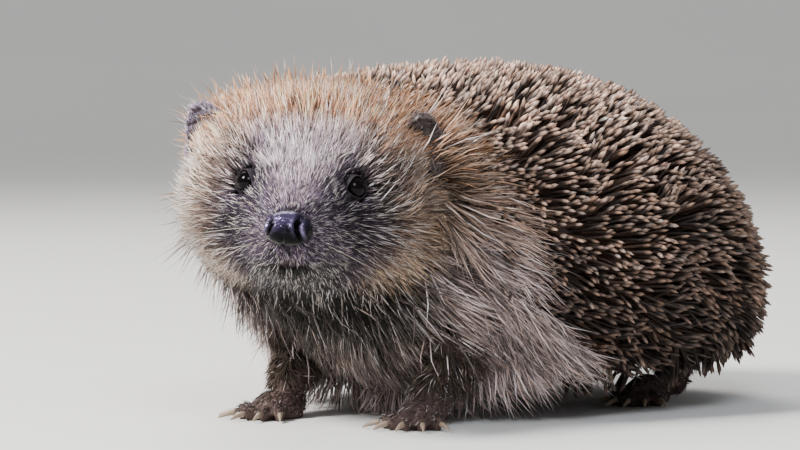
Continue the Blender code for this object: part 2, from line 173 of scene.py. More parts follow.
def paint(mesh, tint):
    """Gives the mesh a colour at each of its points."""
    layer = mesh.attributes.new(TINT, "FLOAT_COLOR", "POINT")
    rgba = np.ones((len(mesh.vertices), 4), np.float32)
    rgba[:, :3] = tint
    layer.data.foreach_set("color", rgba.ravel())


def point_values(obj, what):
    """What each point of an object holds, in rows of three."""
    values = np.empty(len(obj.data.vertices) * 3, np.float32)
    obj.data.vertices.foreach_get(what, values)
    return values.reshape(-1, 3).astype(float)


def mesh_points(obj):
    return point_values(obj, "co")


def mesh_normals(obj):
    return point_values(obj, "normal")


def mesh_corners(mesh):
    """The point under each corner of each face, in the order of the faces."""
    corners = np.empty(len(mesh.loops), np.int32)
    mesh.loops.foreach_get("vertex_index", corners)
    return corners


def bake_map(mesh):
    """The place of each corner of each face in the bake map."""
    uv = np.empty(len(mesh.loops) * 2, np.float32)
    mesh.uv_layers[BAKE_MAP].data.foreach_get("uv", uv)
    return uv.reshape(-1, 2)


def set_bake_map(mesh, uv):
    layer = mesh.uv_layers.get(BAKE_MAP) or mesh.uv_layers.new(name=BAKE_MAP)
    layer.data.foreach_set("uv", np.asarray(uv, np.float32).ravel())


def inside_out(points, faces):
    """Whether the faces of a closed mesh look inward."""
    corners = points[faces] - points.mean(0)
    return dot(corners[:, 0], np.cross(corners[:, 1], corners[:, 2])).sum() < 0


def closed_grid(name, grid, start, end, levels=None, end_levels=(0, 1)):
    """A mesh from rings of points, closed by a point at either end.

    The bake map is unrolled round the rings. Levels are the heights of the rings in it, and end_levels those
    of the two end points.
    """
    rings, around = grid.shape[:2]
    if levels is None:
        levels = np.arange(1, rings + 1) / (rings + 1)
    points = np.vstack([grid.reshape(-1, 3), start, end])
    start_point, end_point = len(points) - 2, len(points) - 1
    i, j = (index.ravel() for index in np.indices((rings - 1, around)))
    k = (j + 1) % around
    a, b, c, d = i * around + j, i * around + k, (i + 1) * around + k, (i + 1) * around + j
    column = np.arange(around)
    following = (column + 1) % around
    last = (rings - 1) * around

    def across(*values):
        return np.stack(np.broadcast_arrays(*values), -1)

    def place(at_column, ring):
        return across(at_column / around, levels[ring])

    faces = np.concatenate([across(a, b, c), across(a, c, d), across(following, column, start_point),
                            across(last + column, last + following, end_point)])
    place_a, place_b, place_c, place_d = place(j, i), place(j + 1, i), place(j + 1, i + 1), place(j, i + 1)
    start_place, end_place = (across((column + 0.5) / around, level) for level in end_levels)
    uv = np.concatenate([np.stack(corners, 1) for corners in (
        (place_a, place_b, place_c),
        (place_a, place_c, place_d),
        (place(column + 1, 0), place(column, 0), start_place),
        (place(column, -1), place(column + 1, -1), end_place),
    )])
    if inside_out(points, faces):
        faces, uv = faces[:, ::-1], uv[:, ::-1]
    return make_mesh(name, points, faces, uv=uv.reshape(-1, 2))


def set_points(obj, points):
    obj.data.vertices.foreach_set("co", points.astype(np.float32).ravel())
    obj.data.update()


def apply_modifier(obj, kind, **settings):
    """The object's mesh after one modifier, in place of the mesh it had."""
    modifier = obj.modifiers.new(kind.title(), kind)
    for key, value in settings.items():
        setattr(modifier, key, value)
    evaluated = obj.evaluated_get(bpy.context.evaluated_depsgraph_get())
    made = bpy.data.meshes.new_from_object(evaluated)
    obj.modifiers.clear()
    old = obj.data
    obj.data = made
    bpy.data.meshes.remove(old)


def merged_copy(name, nodes):
    """One object from copies of some nodes, their loose triangles joined again."""
    bm = bmesh.new()
    for node in nodes:
        bm.from_mesh(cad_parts[node].data)
    bmesh.ops.remove_doubles(bm, verts=bm.verts, dist=JOIN_REACH)
    return from_edit_mesh(name, bm)


def add_ball(obj, centre, radii, towards=(0, 0, 1)):
    """Adds a closed egg shape to an object's mesh, its third radius along a direction."""
    turn = Vector(towards).to_track_quat("Z", "Y").to_matrix().to_4x4()
    place = Matrix.Translation(Vector(centre)) @ turn @ Matrix.Diagonal((*radii, 1))
    bm = bmesh.new()
    bm.from_mesh(obj.data)
    bmesh.ops.create_icosphere(bm, subdivisions=3, radius=1, matrix=place)
    bm.to_mesh(obj.data)
    bm.free()


def join_objects(objects):
    """Several objects' meshes as one object's, with their maps."""
    with bpy.context.temp_override(active_object=objects[0], selected_editable_objects=objects):
        bpy.ops.object.join()
    return objects[0]


def remove(obj):
    bpy.data.objects.remove(obj)


# ---------------------------------------------------------------- the body's middle line and the head's axes

AXIS_LENGTH = 234 * MM
NECK_BEND = (40 * MM, 81 * MM)
STEP = 0.5 * MM
BEHIND_COAT = 0.6 * MM
# The line's height above the floor, against the place along it from the nose.
LINE_LEVEL = ((0, 56.5), (16, 56.5), (34, 60), (60, 58), (90, 50), (130, 46), (194, 44), (204, 41),
              (214, 36.5), (221, 31), (234, 31))

nose_centre = node_centre("nose")
eye_centres = {side: node_centre(f"eye_{side}") for side in SIDES}
eye_middle = (eye_centres["left"] + eye_centres["right"]) / 2
head_left = unit(eye_centres["left"] - eye_centres["right"])
head_forward = nose_centre - eye_middle
head_forward[2] = 0
head_forward = unit(head_forward - head_left * dot(head_forward, head_left))
head_up = np.cross(head_forward, head_left)
head_yaw = math.atan2(head_forward[0], -head_forward[1])


def heading(at):
    """The way the middle line points, forward along the trunk and turned aside at the head."""
    turn = head_yaw * (1 - smooth(*NECK_BEND, at))
    return np.stack([np.sin(turn), -np.cos(turn), 0 * turn], -1)


line_at = np.arange(0, AXIS_LENGTH + STEP, STEP)
line_steps = heading((line_at[1:] + line_at[:-1]) / 2) * STEP
line_end = np.array((0, node_box("spine_coat")[1][1] + BEHIND_COAT, 0))
line_points = line_end + np.vstack([np.cumsum(line_steps[::-1], 0)[::-1], np.zeros((1, 3))])


def line_point(at):
    """The middle line's point at each place along it."""
    at = np.asarray(at, float)
    place = np.stack([np.interp(at, line_at, line_points[:, i]) for i in (0, 1)], -1)
    return np.concatenate([place, table(LINE_LEVEL, at)[..., None]], -1)


def line_place(points):
    """How far along the middle line each point is, from the nose tip."""
    batch = 20000
    found = np.empty(len(points))
    for start in range(0, len(points), batch):
        part = points[start : start + batch, None, :2]
        found[start : start + batch] = line_at[((part - line_points[None, :, :2]) ** 2).sum(-1).argmin(1)]
    return found


def head_place(points):
    """Behind the nose, to the left and above it, in the head's own axes."""
    offset = points - nose_centre
    return -dot(offset, head_forward), dot(offset, head_left), dot(offset, head_up)


def head_place_mm(points):
    """The same in millimetres."""
    return (value / MM for value in head_place(points))


# ---------------------------------------------------------------- the body's skin

AROUND = 240  # points in each ring of the body
FLESH = ("head", "neck", "trunk")
# The coat's depth over the skin, against the place along the middle line.
COAT_ROOM_TOP = ((3, 0.5), (8, 0.9), (20, 1.5), (32, 2.2), (45, 2.6), (234, 2.6))
COAT_ROOM_SIDE = ((3, 0.5), (8, 1.0), (20, 1.7), (32, 3.2), (48, 5.0), (62, 6.0), (95, 6.5), (234, 5.0))
COAT_ROOM_BELOW = ((3, 0.5), (10, 1.3), (25, 2.8), (45, 5.0), (90, 6.0), (130, 4.0), (234, 4.0))
ROOM_UNDER_SPINES = 1.0 * MM
SEAT_REACH = 0.9 * MM  # how near another part's seat spoils the body's surface
SLIPPED_SHARE = 0.9  # of the neighbours' radius, under which a ray has slipped into a gap
FILL_ROUNDS = 500
BODY_MAP_START, BODY_MAP_SPAN, BODY_MAP_ENDS = 0.02, 0.84, (0.005, 0.87)
HEAD_MAP_EXTRA = 2.2  # how many times its own length the head gets in the bake map beyond its due


def ring_places():
    """Where the rings lie along the middle line: close together on the face and where the rump rounds."""
    muzzle = np.arange(2.95, 20, 0.45)
    face = np.arange(20, 62, 0.7)
    neck = np.arange(62, 100, 1.5)
    trunk = np.arange(100, 194, 2.6)
    last = (AXIS_LENGTH - line_end[1] + node_box("trunk")[1][1]) / MM
    rump = 194 + (last - 194) * np.sin(np.radians(np.linspace(0, 84, 18)))
    return np.concatenate([muzzle, face, neck, trunk, rump]) * MM


def even_out(values, rings, around):
    """Averages a grid with its neighbours, the given number of times each way."""
    for _ in range(around):
        values = (np.roll(values, 1, 1) + 2 * values + np.roll(values, -1, 1)) / 4
    for _ in range(rings):
        inner = (values[:-2] + 2 * values[1:-1] + values[2:]) / 4
        values = np.vstack([values[:1], inner, values[-1:]])
    return values


def grid_normals(grid):
    """Outward normals of a tube of rings."""
    along = np.gradient(grid, axis=0)
    around = np.roll(grid, -1, 1) - np.roll(grid, 1, 1)
    normals = unit(np.cross(around, along))
    outward = dot(normals, grid - grid.mean(1, keepdims=True)).sum()
    return normals if outward > 0 else -normals


def body_radii(places, turns):
    """Distance from the middle line out to the solids, with the seats of the other parts filled in."""
    body = node_tree(FLESH)
    others = node_tree(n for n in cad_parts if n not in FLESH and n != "spine_coat")
    centres = line_point(places)
    lefts = np.cross(heading(places), (0, 0, -1))
    radii = np.full((len(places), len(turns)), np.nan)
    for i, (centre, left) in enumerate(zip(centres, lefts)):
        reach = np.interp(places[i], (60 * MM, 130 * MM), (64 * MM, 110 * MM))
        for j, turn in enumerate(turns):
            out = Vector(left * math.cos(turn)) + Vector((0, 0, math.sin(turn)))
            hit = body.ray_cast(Vector(centre) + out * reach, -out, reach)[0]
            if hit is None:
                continue
            if others.find_nearest(hit, SEAT_REACH)[0] is None:
                radii[i, j] = (hit - Vector(centre)).length
    missing = np.isnan(radii)
    for i, row in enumerate(radii):
        known = ~missing[i]
        if known.sum() > 8:
            wrapped = np.concatenate([turns[known] - 2 * math.pi, turns[known], turns[known] + 2 * math.pi])
            radii[i] = np.interp(turns, wrapped, np.tile(row[known], 3))
    empty = np.isnan(radii).any(1)
    for j in range(len(turns)):
        radii[empty, j] = np.interp(places[empty], places[~empty], radii[~empty, j])
    neighbours = np.maximum(np.roll(radii, 1, 0), np.roll(radii, -1, 0))
    slipped = radii < SLIPPED_SHARE * neighbours
    slipped[[0, -1]] = False
    slipped[places > 200 * MM] = False
    missing |= slipped
    for _ in range(FILL_ROUNDS):
        spread = (np.roll(radii, 1, 1) + np.roll(radii, -1, 1)) / 4
        spread[1:-1] += (radii[:-2] + radii[2:]) / 4
        spread[[0, -1]] *= 2
        radii = np.where(missing, spread, radii)
    return even_out(radii, 3, 5)


def carve_mouth(grid, normals):
    """A shallow fold from under the nose back to the corners of the mouth."""
    behind, aside, up = head_place(grid)
    level = -7.9 * MM - 0.9 * MM * smooth(2 * MM, 10 * MM, np.abs(aside))
    lip = hump(up, level, 0.75 * MM) * (1 - smooth(13 * MM, 16 * MM, behind))
    below_nose = smooth(-8.4 * MM, -7.4 * MM, up) * (1 - smooth(-4.5 * MM, -3.5 * MM, up))
    cleft = hump(aside, 0, 0.5 * MM) * below_nose
    front = 1 - smooth(5 * MM, 8 * MM, behind)
    return grid - normals * (0.95 * MM * lip + 0.5 * MM * cleft * front)[..., None]


def build_body():
    """Head, neck and trunk as one tube of rings, drawn in from the solids by the coat's depth."""
    places = ring_places()
    turns = np.arange(AROUND) * 2 * math.pi / AROUND - math.pi / 2
    radii = body_radii(places, turns)
    lefts = np.cross(heading(places), (0, 0, -1))
    rays = lefts[:, None] * np.cos(turns)[None, :, None] + np.array((0, 0, 1)) * np.sin(turns)[None, :, None]
    grid = line_point(places)[:, None] + rays * radii[..., None]
    normals = grid_normals(grid)
    coat = node_tree(["spine_coat"])
    covered = np.zeros(radii.shape)
    for i in range(len(places)):
        for j in range(AROUND):
            hit = coat.ray_cast(Vector(grid[i, j]), Vector(rays[i, j]), 30 * MM)[0]
            covered[i, j] = hit is not None
    covered = even_out(covered, 3, 3)
    rise = np.sin(turns)[None, :]
    at = places[:, None]
    room = blend(table(COAT_ROOM_SIDE, at), table(COAT_ROOM_TOP, at), smooth(0.2, 0.8, rise))
    room = blend(room, table(COAT_ROOM_BELOW, at), smooth(0.2, 0.8, -rise))
    room = blend(room, ROOM_UNDER_SPINES, covered * smooth(37 * MM, 45 * MM, at))
    room = even_out(room, 3, 3)
    grid = grid - normals * room[..., None]
    grid = carve_mouth(grid, grid_normals(grid))

    head_extra = HEAD_MAP_EXTRA * (1 - smooth(40 * MM, 60 * MM, places[1:]))
    share = np.concatenate([[0], np.cumsum(np.diff(places) * (1 + head_extra))])
    levels = BODY_MAP_START + BODY_MAP_SPAN * share / share[-1]
    rump_point = grid[-1].mean(0) + (0, 0.6 * MM, 0)
    return closed_grid("skin", grid, grid[0].mean(0), rump_point, levels, BODY_MAP_ENDS)


# ---------------------------------------------------------------- legs, tail and ears

STRIPS = 10
STRIP_LOW, STRIP_HIGH = 0.9, 0.99
LID_PATCH = 0.08
# The balls that root the limbs inside the body, by their radii.
ANKLE_BALL = (4.6 * MM, 4.6 * MM, 4.5 * MM)
HIP_BALL = (6.5 * MM, 6.5 * MM, 9 * MM)
EAR_BALL = (3.2 * MM, 3.2 * MM, 5 * MM)
TAIL_BALL = (3.6 * MM, 3.6 * MM, 13 * MM)
# How fine each limb's skin is, and how deep it lies under the hair.
LEG_GRAIN, EAR_GRAIN, TAIL_GRAIN = 0.62 * MM, 0.42 * MM, 0.55 * MM
PAW_DEPTH, LEG_EXTRA_DEPTH, EAR_DEPTH, TAIL_DEPTH = 0.25 * MM, 1.4 * MM, 0.15 * MM, 0.8 * MM


def wrap_strip(obj, number, axis):
    """The bake map of a limb: unrolled round its own axis into its own strip above the body's."""
    points = mesh_points(obj)
    centre = points.mean(0)
    axis = unit(np.array(axis, float))
    first = unit(np.cross(axis, (0.3, 0.9, 0.2)))
    second = np.cross(axis, first)
    offset = points - centre
    height = dot(offset, axis)
    height = (height - height.min()) / (height.max() - height.min())
    turn = np.arctan2(dot(offset, second), dot(offset, first)) / (2 * math.pi) + 0.5
    mesh = obj.data
    corners = mesh_corners(mesh)
    u, v = turn[corners], height[corners]
    for polygon in mesh.polygons:
        span = slice(polygon.loop_start, polygon.loop_start + polygon.loop_total)
        if np.ptp(u[span]) > 0.5:
            u[span] = np.where(u[span] < 0.5, u[span] + 1, u[span])
    level = STRIP_LOW + (STRIP_HIGH - STRIP_LOW) * v
    set_bake_map(mesh, np.stack([(number + 0.03 + 0.9 * u) / STRIPS, level], -1))


def soften(obj, size, rounds):
    """Makes one even skin of an object's overlapping shells."""
    apply_modifier(obj, "REMESH", mode="VOXEL", voxel_size=size)
    apply_modifier(obj, "SMOOTH", factor=0.5, iterations=rounds)


def build_leg(kind, side):
    """Leg and paw as one, drawn in by the hair's depth and rooted inside the body."""
    leg = merged_copy(f"{kind}leg_{side}_skin", [f"{kind}leg_{side}", f"{kind}paw_{side}"])
    shin_copy = merged_copy("shin", [f"{kind}leg_{side}"])
    shin = mesh_points(shin_copy)
    remove(shin_copy)
    ankle = shin[shin[:, 2] < shin[:, 2].min() + 3 * MM].mean(0)
    hip = shin[shin[:, 2] > shin[:, 2].max() - 5 * MM].mean(0)
    inside = unit(np.array((0, hip[1], 45 * MM)) - hip)
    add_ball(leg, ankle, ANKLE_BALL)
    add_ball(leg, hip + inside * 4 * MM, HIP_BALL, inside)
    soften(leg, LEG_GRAIN, 3)
    points, normals = mesh_points(leg), mesh_normals(leg)
    depth = PAW_DEPTH + LEG_EXTRA_DEPTH * smooth(9 * MM, 18 * MM, points[:, 2])
    moved = points - normals * depth[:, None]
    sole = points[:, 2] < 0.9 * MM
    moved[sole, 2] = np.minimum(points[sole, 2], 0.45 * MM) * 0.2
    set_points(leg, moved)
    return leg


def build_ear(side):
    """An ear's shell, rooted inside the head."""
    ear = merged_copy(f"ear_{side}_skin", [f"ear_{side}"])
    points = mesh_points(ear)
    root = points[points[:, 2] < points[:, 2].min() + 3 * MM].mean(0)
    inside = unit(line_point(44 * MM) - root)
    add_ball(ear, root + inside * 2.5 * MM, EAR_BALL, inside)
    soften(ear, EAR_GRAIN, 3)
    set_points(ear, mesh_points(ear) - mesh_normals(ear) * EAR_DEPTH)
    return ear


def build_tail():
    """The short tail, drawn in by the hair's depth and rooted up inside the rump."""
    tail = merged_copy("tail_skin", ["tail"])
    low, high = node_box("tail")
    middle = (low + high) / 2
    root = np.array((middle[0], low[1] + 1 * MM, middle[2] + 9 * MM))
    add_ball(tail, root, TAIL_BALL, unit(np.array((0, -0.45, 1))))
    soften(tail, TAIL_GRAIN, 2)
    set_points(tail, mesh_points(tail) - mesh_normals(tail) * TAIL_DEPTH)
    return tail


# ---------------------------------------------------------------- eyes and lids

EYE_RADIUS = 3.15 * MM
LID_RADIUS = 3.6 * MM
LID_OPENING = (3.2 * MM, 3.05 * MM)
SOCKET_GAP = 0.06 * MM


def gaze(side):
    """The direction an eye looks in: aside and forward, a little up."""
    aside = 1 if side == "left" else -1
    return unit(head_left * aside * 0.68 + head_forward * 0.70 + head_up * 0.22)


def eye_axes(side):
    """An eye's own axes: out along its gaze, to the front corner of its lids, and up."""
    out = gaze(side)
    front = unit(head_forward - out * dot(head_forward, out))
    return out, front, np.cross(out, front)


def lid_cutter(side):
    """The opening between the lids: round behind, drawn to a corner in front."""
    out, front, up = eye_axes(side)
    centre = eye_centres[side]
    turns = np.linspace(0, 2 * math.pi, 40, endpoint=False)
    along = LID_OPENING[0] * np.cos(turns) * (1 + 0.16 * np.maximum(np.cos(turns), 0) ** 3)
    across = LID_OPENING[1] * np.sin(turns) * (1 - 0.14 * np.maximum(np.cos(turns), 0))
    bm = bmesh.new()
    rings = []
    for depth, grow in ((0, 0.8), (7 * MM, 1.35)):
        places = [centre + out * depth + (front * a + up * b) * grow for a, b in zip(along, across)]
        ring = [bm.verts.new(place) for place in places]
        rings.append(ring)
        bm.faces.new(ring)
    for k in range(len(turns)):
        n = (k + 1) % len(turns)
        bm.faces.new((rings[0][k], rings[0][n], rings[1][n], rings[1][k]))
    bmesh.ops.recalc_face_normals(bm, faces=bm.faces)
    return from_edit_mesh("cutter", bm)


def ball(name, centre, radius, around, rings, pole):
    """A closed ball with its poles on a line, and a bake map unrolled round it."""
    first = unit(np.cross(pole, (0.31, 0.2, 0.93)))
    second = np.cross(pole, first)
    tilt = np.linspace(0, math.pi, rings + 1)[1:-1]
    turn = np.arange(around) * 2 * math.pi / around
    ring = np.cos(turn)[None, :, None] * first + np.sin(turn)[None, :, None] * second
    grid = np.sin(tilt)[:, None, None] * ring + np.cos(tilt)[:, None, None] * pole
    return closed_grid(name, centre + radius * grid, centre + radius * pole, centre - radius * pole)


def close_slivers(obj):
    """Draws together the few corners whose edges don't have just two faces after the joining."""
    bm = bmesh.new()
    bm.from_mesh(obj.data)
    corners = {corner for edge in bm.edges if len(edge.link_faces) != 2 for corner in edge.verts}
    bmesh.ops.remove_doubles(bm, verts=sorted(corners, key=lambda corner: corner.index), dist=SLIVER_REACH)
    bm.to_mesh(obj.data)
    bm.free()


def build_skin():
    """Body, legs, tail, ears and lids united into one closed skin, opened over the eyes.

    With it go the points and the names of the parts that it was made of.
    """
    skin = build_body()
    parts = [build_leg(kind, side) for kind in ("fore", "hind") for side in SIDES]
    parts += [build_tail()] + [build_ear(side) for side in SIDES]
    for number, part in enumerate(parts):
        wrap_strip(part, number, (0, 1, 0.2) if "tail" in part.name else (0, 0, 1))
    sources = [(mesh_points(part), part.name) for part in parts]
    for side in SIDES:
        lid = ball(f"lid_{side}", eye_centres[side], LID_RADIUS, 56, 36, gaze(side))
        corner = (len(parts) / STRIPS + 0.01, STRIP_LOW)
        set_bake_map(lid.data, bake_map(lid.data) * LID_PATCH + corner)
        sources.append((mesh_points(lid), "lid"))
        parts.append(lid)
    sources.append((mesh_points(skin), "body"))
    limbs = join_objects(parts)
    apply_modifier(skin, "BOOLEAN", operation="UNION", object=limbs, solver="EXACT")
    remove(limbs)
    for side in SIDES:
        socket = ball("socket", eye_centres[side], EYE_RADIUS + SOCKET_GAP, 48, 30, gaze(side))
        for cutter in (socket, lid_cutter(side)):
            apply_modifier(skin, "BOOLEAN", operation="DIFFERENCE", object=cutter, solver="EXACT")
            remove(cutter)
    apply_modifier(skin, "TRIANGULATE")
    close_slivers(skin)
    shade_smooth(skin.data)
    skin.data.update()
    return skin, sources


# ---------------------------------------------------------------- markings and painted light and shade: colours of coat and skin by place

CREAM = linear(238, 226, 222)
FOREHEAD = linear(178, 159, 167)
BRIDGE = linear(120, 101, 117)
MASK = linear(37, 26, 41)
MUZZLE = linear(70, 57, 74)
CHEEK = linear(168, 141, 119)
# Painted light: the animal's right cheek, paler than its left.
LIT_CHEEK = linear(196, 170, 153)
TEMPLE = linear(86, 72, 64)
CREST = linear(172, 128, 100)
FLANK = linear(150, 133, 129)
FLANK_EDGE = linear(118, 91, 68)
# The chest's fur colour, darkened with painted shade.
CHEST_WITH_SHADE = linear(84, 80, 72)
CHIN = linear(36, 34, 31)
# Painted shadow under the chin and down the throat.
THROAT_SHADOW = linear(22, 20, 15)
BELLY = linear(126, 114, 110)
LEG = linear(69, 56, 47)
PAW = linear(80, 66, 63)
EAR = linear(124, 113, 128)
# Painted shade on the animal's left ear.
SHADED_EAR = linear(86, 74, 72)
LID = linear(54, 44, 54)
MOUTH = linear(38, 20, 20)
SKIN_UNDER_COAT = linear(61, 49, 46)
PAW_SKIN = linear(86, 69, 64)
EAR_SKIN = linear(70, 59, 59)


def markings_and_painted_light(points, normals, kind, at):
    """The coat's colour at places on the skin, from the muzzle outward and then back along the body: its
    markings, with painted light on the animal's right cheek and painted shade on its left temple and ear,
    under the chin and on fur that faces down.
    """
    behind, aside, up = head_place_mm(points)
    side = np.abs(aside)
    at = at / MM

    def mix(base, colour, share):
        return blend(base, colour, np.clip(share, 0, 1)[:, None])

    colour = np.tile(MUZZLE, (len(points), 1))
    fan_width = 3.6 + 0.16 * np.clip(behind, 0, 60) + 0.42 * np.clip(up - 10, 0, 12)
    fan = np.exp(-((aside / fan_width) ** 4)) * smooth(2, 7, up) * smooth(0, 6, behind)
    colour = mix(colour, TEMPLE, smooth(20, 30, behind) * smooth(8, 16, side))
    # The animal's right cheek is made paler with painted light.
    cheek = blend(CHEEK, LIT_CHEEK, smooth(4, -16, aside)[:, None])
    colour = mix(colour, cheek, smooth(27, 38, behind) * smooth(9, 18, side))
    # Painted shade on the animal's left temple.
    colour = mix(colour, TEMPLE, smooth(9, 15, aside) * hump(up, 11, 9) * hump(behind, 33, 9))
    outward = side - 12.5
    eye = np.stack([behind - 21.0, np.where(outward > 0, 1.5, 0.95) * outward, up - 9.0], -1)
    mask = hump(np.sqrt((eye**2 * (0.8, 1, 1)).sum(-1)), 0, 7.5)
    trail = hump(side, 10.5, 4.5) * hump(up, 3.5, 8.0) * hump(behind, 13, 8)
    below_eye = hump(behind, 22, 7.5) * hump(up, -3, 6.5) * smooth(9, 13, side)
    colour = mix(colour, MASK, 1.8 * mask + trail + 0.9 * below_eye)
    brow = blend(BRIDGE, FOREHEAD, smooth(7, 15, up)[:, None])
    colour = mix(colour, brow, 1.1 * fan * (1 - 0.5 * mask))
    colour = mix(colour, CHIN, smooth(6, 9.5, -up) * (1 - smooth(8, 16, side)) * (1 - smooth(20, 30, behind)))
    colour = mix(colour, CREST, smooth(27, 37, behind) * smooth(12, 20, up))
    rear = smooth(46, 64, at)
    high = smooth(-6, 12, up)
    flank = mix(np.tile(FLANK, (len(points), 1)), FLANK_EDGE, high * (1 - smooth(80, 105, at)) * 0.8)
    # Darker where the fur faces down and below the head: the chest's colour with painted shade.
    low = smooth(0.35, 0.8, -normals[:, 2]) + smooth(24, 38, -up) * (1 - smooth(58, 84, at))
    flank = mix(flank, CHEST_WITH_SHADE, low * (1 - smooth(64, 88, at)))
    flank = mix(flank, BELLY, smooth(100, 130, at))
    colour = mix(colour, flank, rear)
    # Painted shadow under the chin, down the throat.
    throat_shadow = smooth(8, 14, -up) * smooth(14, 24, behind) * (1 - smooth(58, 78, at))
    colour = mix(colour, THROAT_SHADOW, throat_shadow * (1 - smooth(22, 32, side)))
    for number, plain in ((ON_LEG, LEG), (ON_PAW, PAW), (ON_TAIL, BELLY), (ON_EAR, EAR), (ON_LID, LID)):
        colour = np.where((kind == number)[:, None], plain, colour)
    # The animal's left ear takes painted shade.
    return np.where(((kind == ON_EAR) & (aside > 0))[:, None], SHADED_EAR, colour)


# ---------------------------------------------------------------- where hairs root, and which way they lie

MOST_ROOM = (8 * MM, 16 * MM)  # for hair and for spines
ROOM_REACH = 18 * MM
HAIR_GAP, COAT_GAP = 1.6 * MM, 12 * MM  # the widest gaps between solids that the room goes on across
PAW_LEVEL = 10.5 * MM
DRAWS_PER_ROOT = 7  # where roots keep their distance, and many are dropped
PART_KINDS = {"leg": ON_LEG, "tail": ON_TAIL, "ear": ON_EAR, "lid": ON_LID, "body": ON_BODY}
# How far back the spines start, against the height above the floor.
SPINE_EDGE = ((9, 117), (20, 106), (29, 97), (37, 90), (47, 85), (57, 80), (70, 74), (78, 66), (84, 50),
              (90, 40))


def past_edge(points, at, width):
    """0 to 1 over a width round the line where the fur of neck and flank gives way to spines."""
    edge = table(SPINE_EDGE, points[:, 2])
    return smooth(-width / 2, width / 2, at - edge + 2.5 * MM * waves(points, 14 * MM, 3))


class Surface:
    """The skin as arrays: its points, their normals and kinds, the hair's lie and room out to the solids."""

    def __init__(self, skin, sources):
        self.points, self.normals = mesh_points(skin), mesh_normals(skin)
        self.faces = mesh_corners(skin.data).reshape(-1, 3)
        self.uv = bake_map(skin.data).reshape(-1, 3, 2)
        self.kind = self.find_kinds(sources)
        self.at = line_place(self.points)
        self.measure_room()
        self.lie = self.lay_hair()
        a, b, c = (self.points[self.faces[:, corner]] for corner in range(3))
        self.areas = np.linalg.norm(np.cross(b - a, c - a), axis=1) / 2

    def find_kinds(self, sources):
        """The kind of part that each point of the skin came from."""
        tree = KDTree(sum(len(points) for points, _ in sources))
        kinds = []
        for points, name in sources:
            number = next(value for key, value in PART_KINDS.items() if key in name)
            for point in points:
                tree.insert(point, len(kinds))
                kinds.append(number)
        tree.balance()
        found = np.array([kinds[tree.find(point)[1]] for point in self.points])
        found[(found == ON_LEG) & (self.points[:, 2] < PAW_LEVEL)] = ON_PAW
        return found

    def measure_room(self):
        """Which points lie under the spine coat, and how far the solids reach above each."""
        self.spiny = np.zeros(len(self.points))
        self.room = np.zeros(len(self.points))
        coat = node_tree(["spine_coat"])
        whole = node_tree(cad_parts)
        for k, (point, normal) in enumerate(zip(self.points, self.normals)):
            point, normal = Vector(point), Vector(normal)
            if self.kind[k] == ON_BODY:
                self.spiny[k] = coat.ray_cast(point, normal, ROOM_REACH)[0] is not None
            if self.spiny[k]:
                self.room[k] = min(room_above(coat, point, normal, COAT_GAP), MOST_ROOM[1])
            else:
                self.room[k] = min(room_above(whole, point, normal, HAIR_GAP), MOST_ROOM[0])

    def lay_hair(self):
        """The lie: out from the nose over the face, back and down over the flanks, down the legs."""
        from_nose = unit(self.points - (nose_centre + head_forward * 1.5 * MM))
        back = -heading(self.at)
        side = 1 - np.abs(self.normals[:, 2])
        up = self.points[:, 2]
        droop = blend(0.2, 0.6, smooth(62 * MM, 25 * MM, up)) * smooth(44 * MM, 78 * MM, self.at) * side
        droop += 0.45 * self.spiny * side * smooth(70 * MM, 95 * MM, self.at)
        droop += 2.2 * smooth(150 * MM, 212 * MM, self.at)
        splay = 0.45 * (1 - side) * smooth(60 * MM, 90 * MM, self.at)
        splay = splay * np.clip(self.points[:, 0] / (25 * MM), -1, 1)
        rear = back - np.array((0, 0, 1)) * droop[:, None] + np.array((1, 0, 0)) * splay[:, None]
        lie = blend(from_nose, unit(rear), smooth(34 * MM, 78 * MM, self.at)[:, None])
        outward = np.sign(self.points[:, :1]) * np.array((1, 0, 0))
        ways = {ON_LEG: (0, 0.35, -1), ON_PAW: (0, -1, -0.35), ON_TAIL: (0, 1, -0.3), ON_LID: (0, 0, 1),
                ON_EAR: outward * 0.55 + (0, 0.1, 1)}
        for kind, way in ways.items():
            lie = np.where((self.kind == kind)[:, None], way, lie)
        lie -= self.normals * dot(lie, self.normals)[:, None]
        return unit(lie)

    def scatter(self, count, density, seed, spacing=0.0):
        """Root places drawn over the skin by area and density, further apart than spacing.

        Comes with the random numbers to go on with and the count of the roots.
        """
        rng = np.random.default_rng(seed)
        weight = self.areas * np.clip(density, 0, None)[self.faces].mean(1)
        count = int(count * COUNT_SHARE)
        drawn = count * DRAWS_PER_ROOT if spacing else count
        chosen = np.searchsorted(np.cumsum(weight) / weight.sum(), rng.random(drawn)).clip(0, len(weight) - 1)
        a, b = rng.random(drawn), rng.random(drawn)
        over = a + b > 1
        a[over], b[over] = 1 - a[over], 1 - b[over]
        share = np.stack([1 - a - b, a, b], -1)
        corners = self.faces[chosen]

        def spread(values):
            """Values of the skin's points, read at the roots."""
            return (values[corners] * share.reshape(share.shape + (1,) * (values.ndim - 1))).sum(1)

        roots = {
            "point": spread(self.points),
            "normal": unit(spread(self.normals)),
            "lie": spread(self.lie),
            "at": spread(self.at),
            "room": spread(self.room),
            "spiny": spread(self.spiny),
            "kind": self.kind[corners[:, 0]],
            "uv": (self.uv[chosen] * share[..., None]).sum(1),
        }
        if spacing:
            kept = spaced(roots["point"], spacing, count)
            roots = {key: value[kept] for key, value in roots.items()}
        roots["lie"] = unit(roots["lie"] - roots["normal"] * dot(roots["lie"], roots["normal"])[:, None])
        roots["rng"] = rng
        return roots, rng, len(roots["point"])


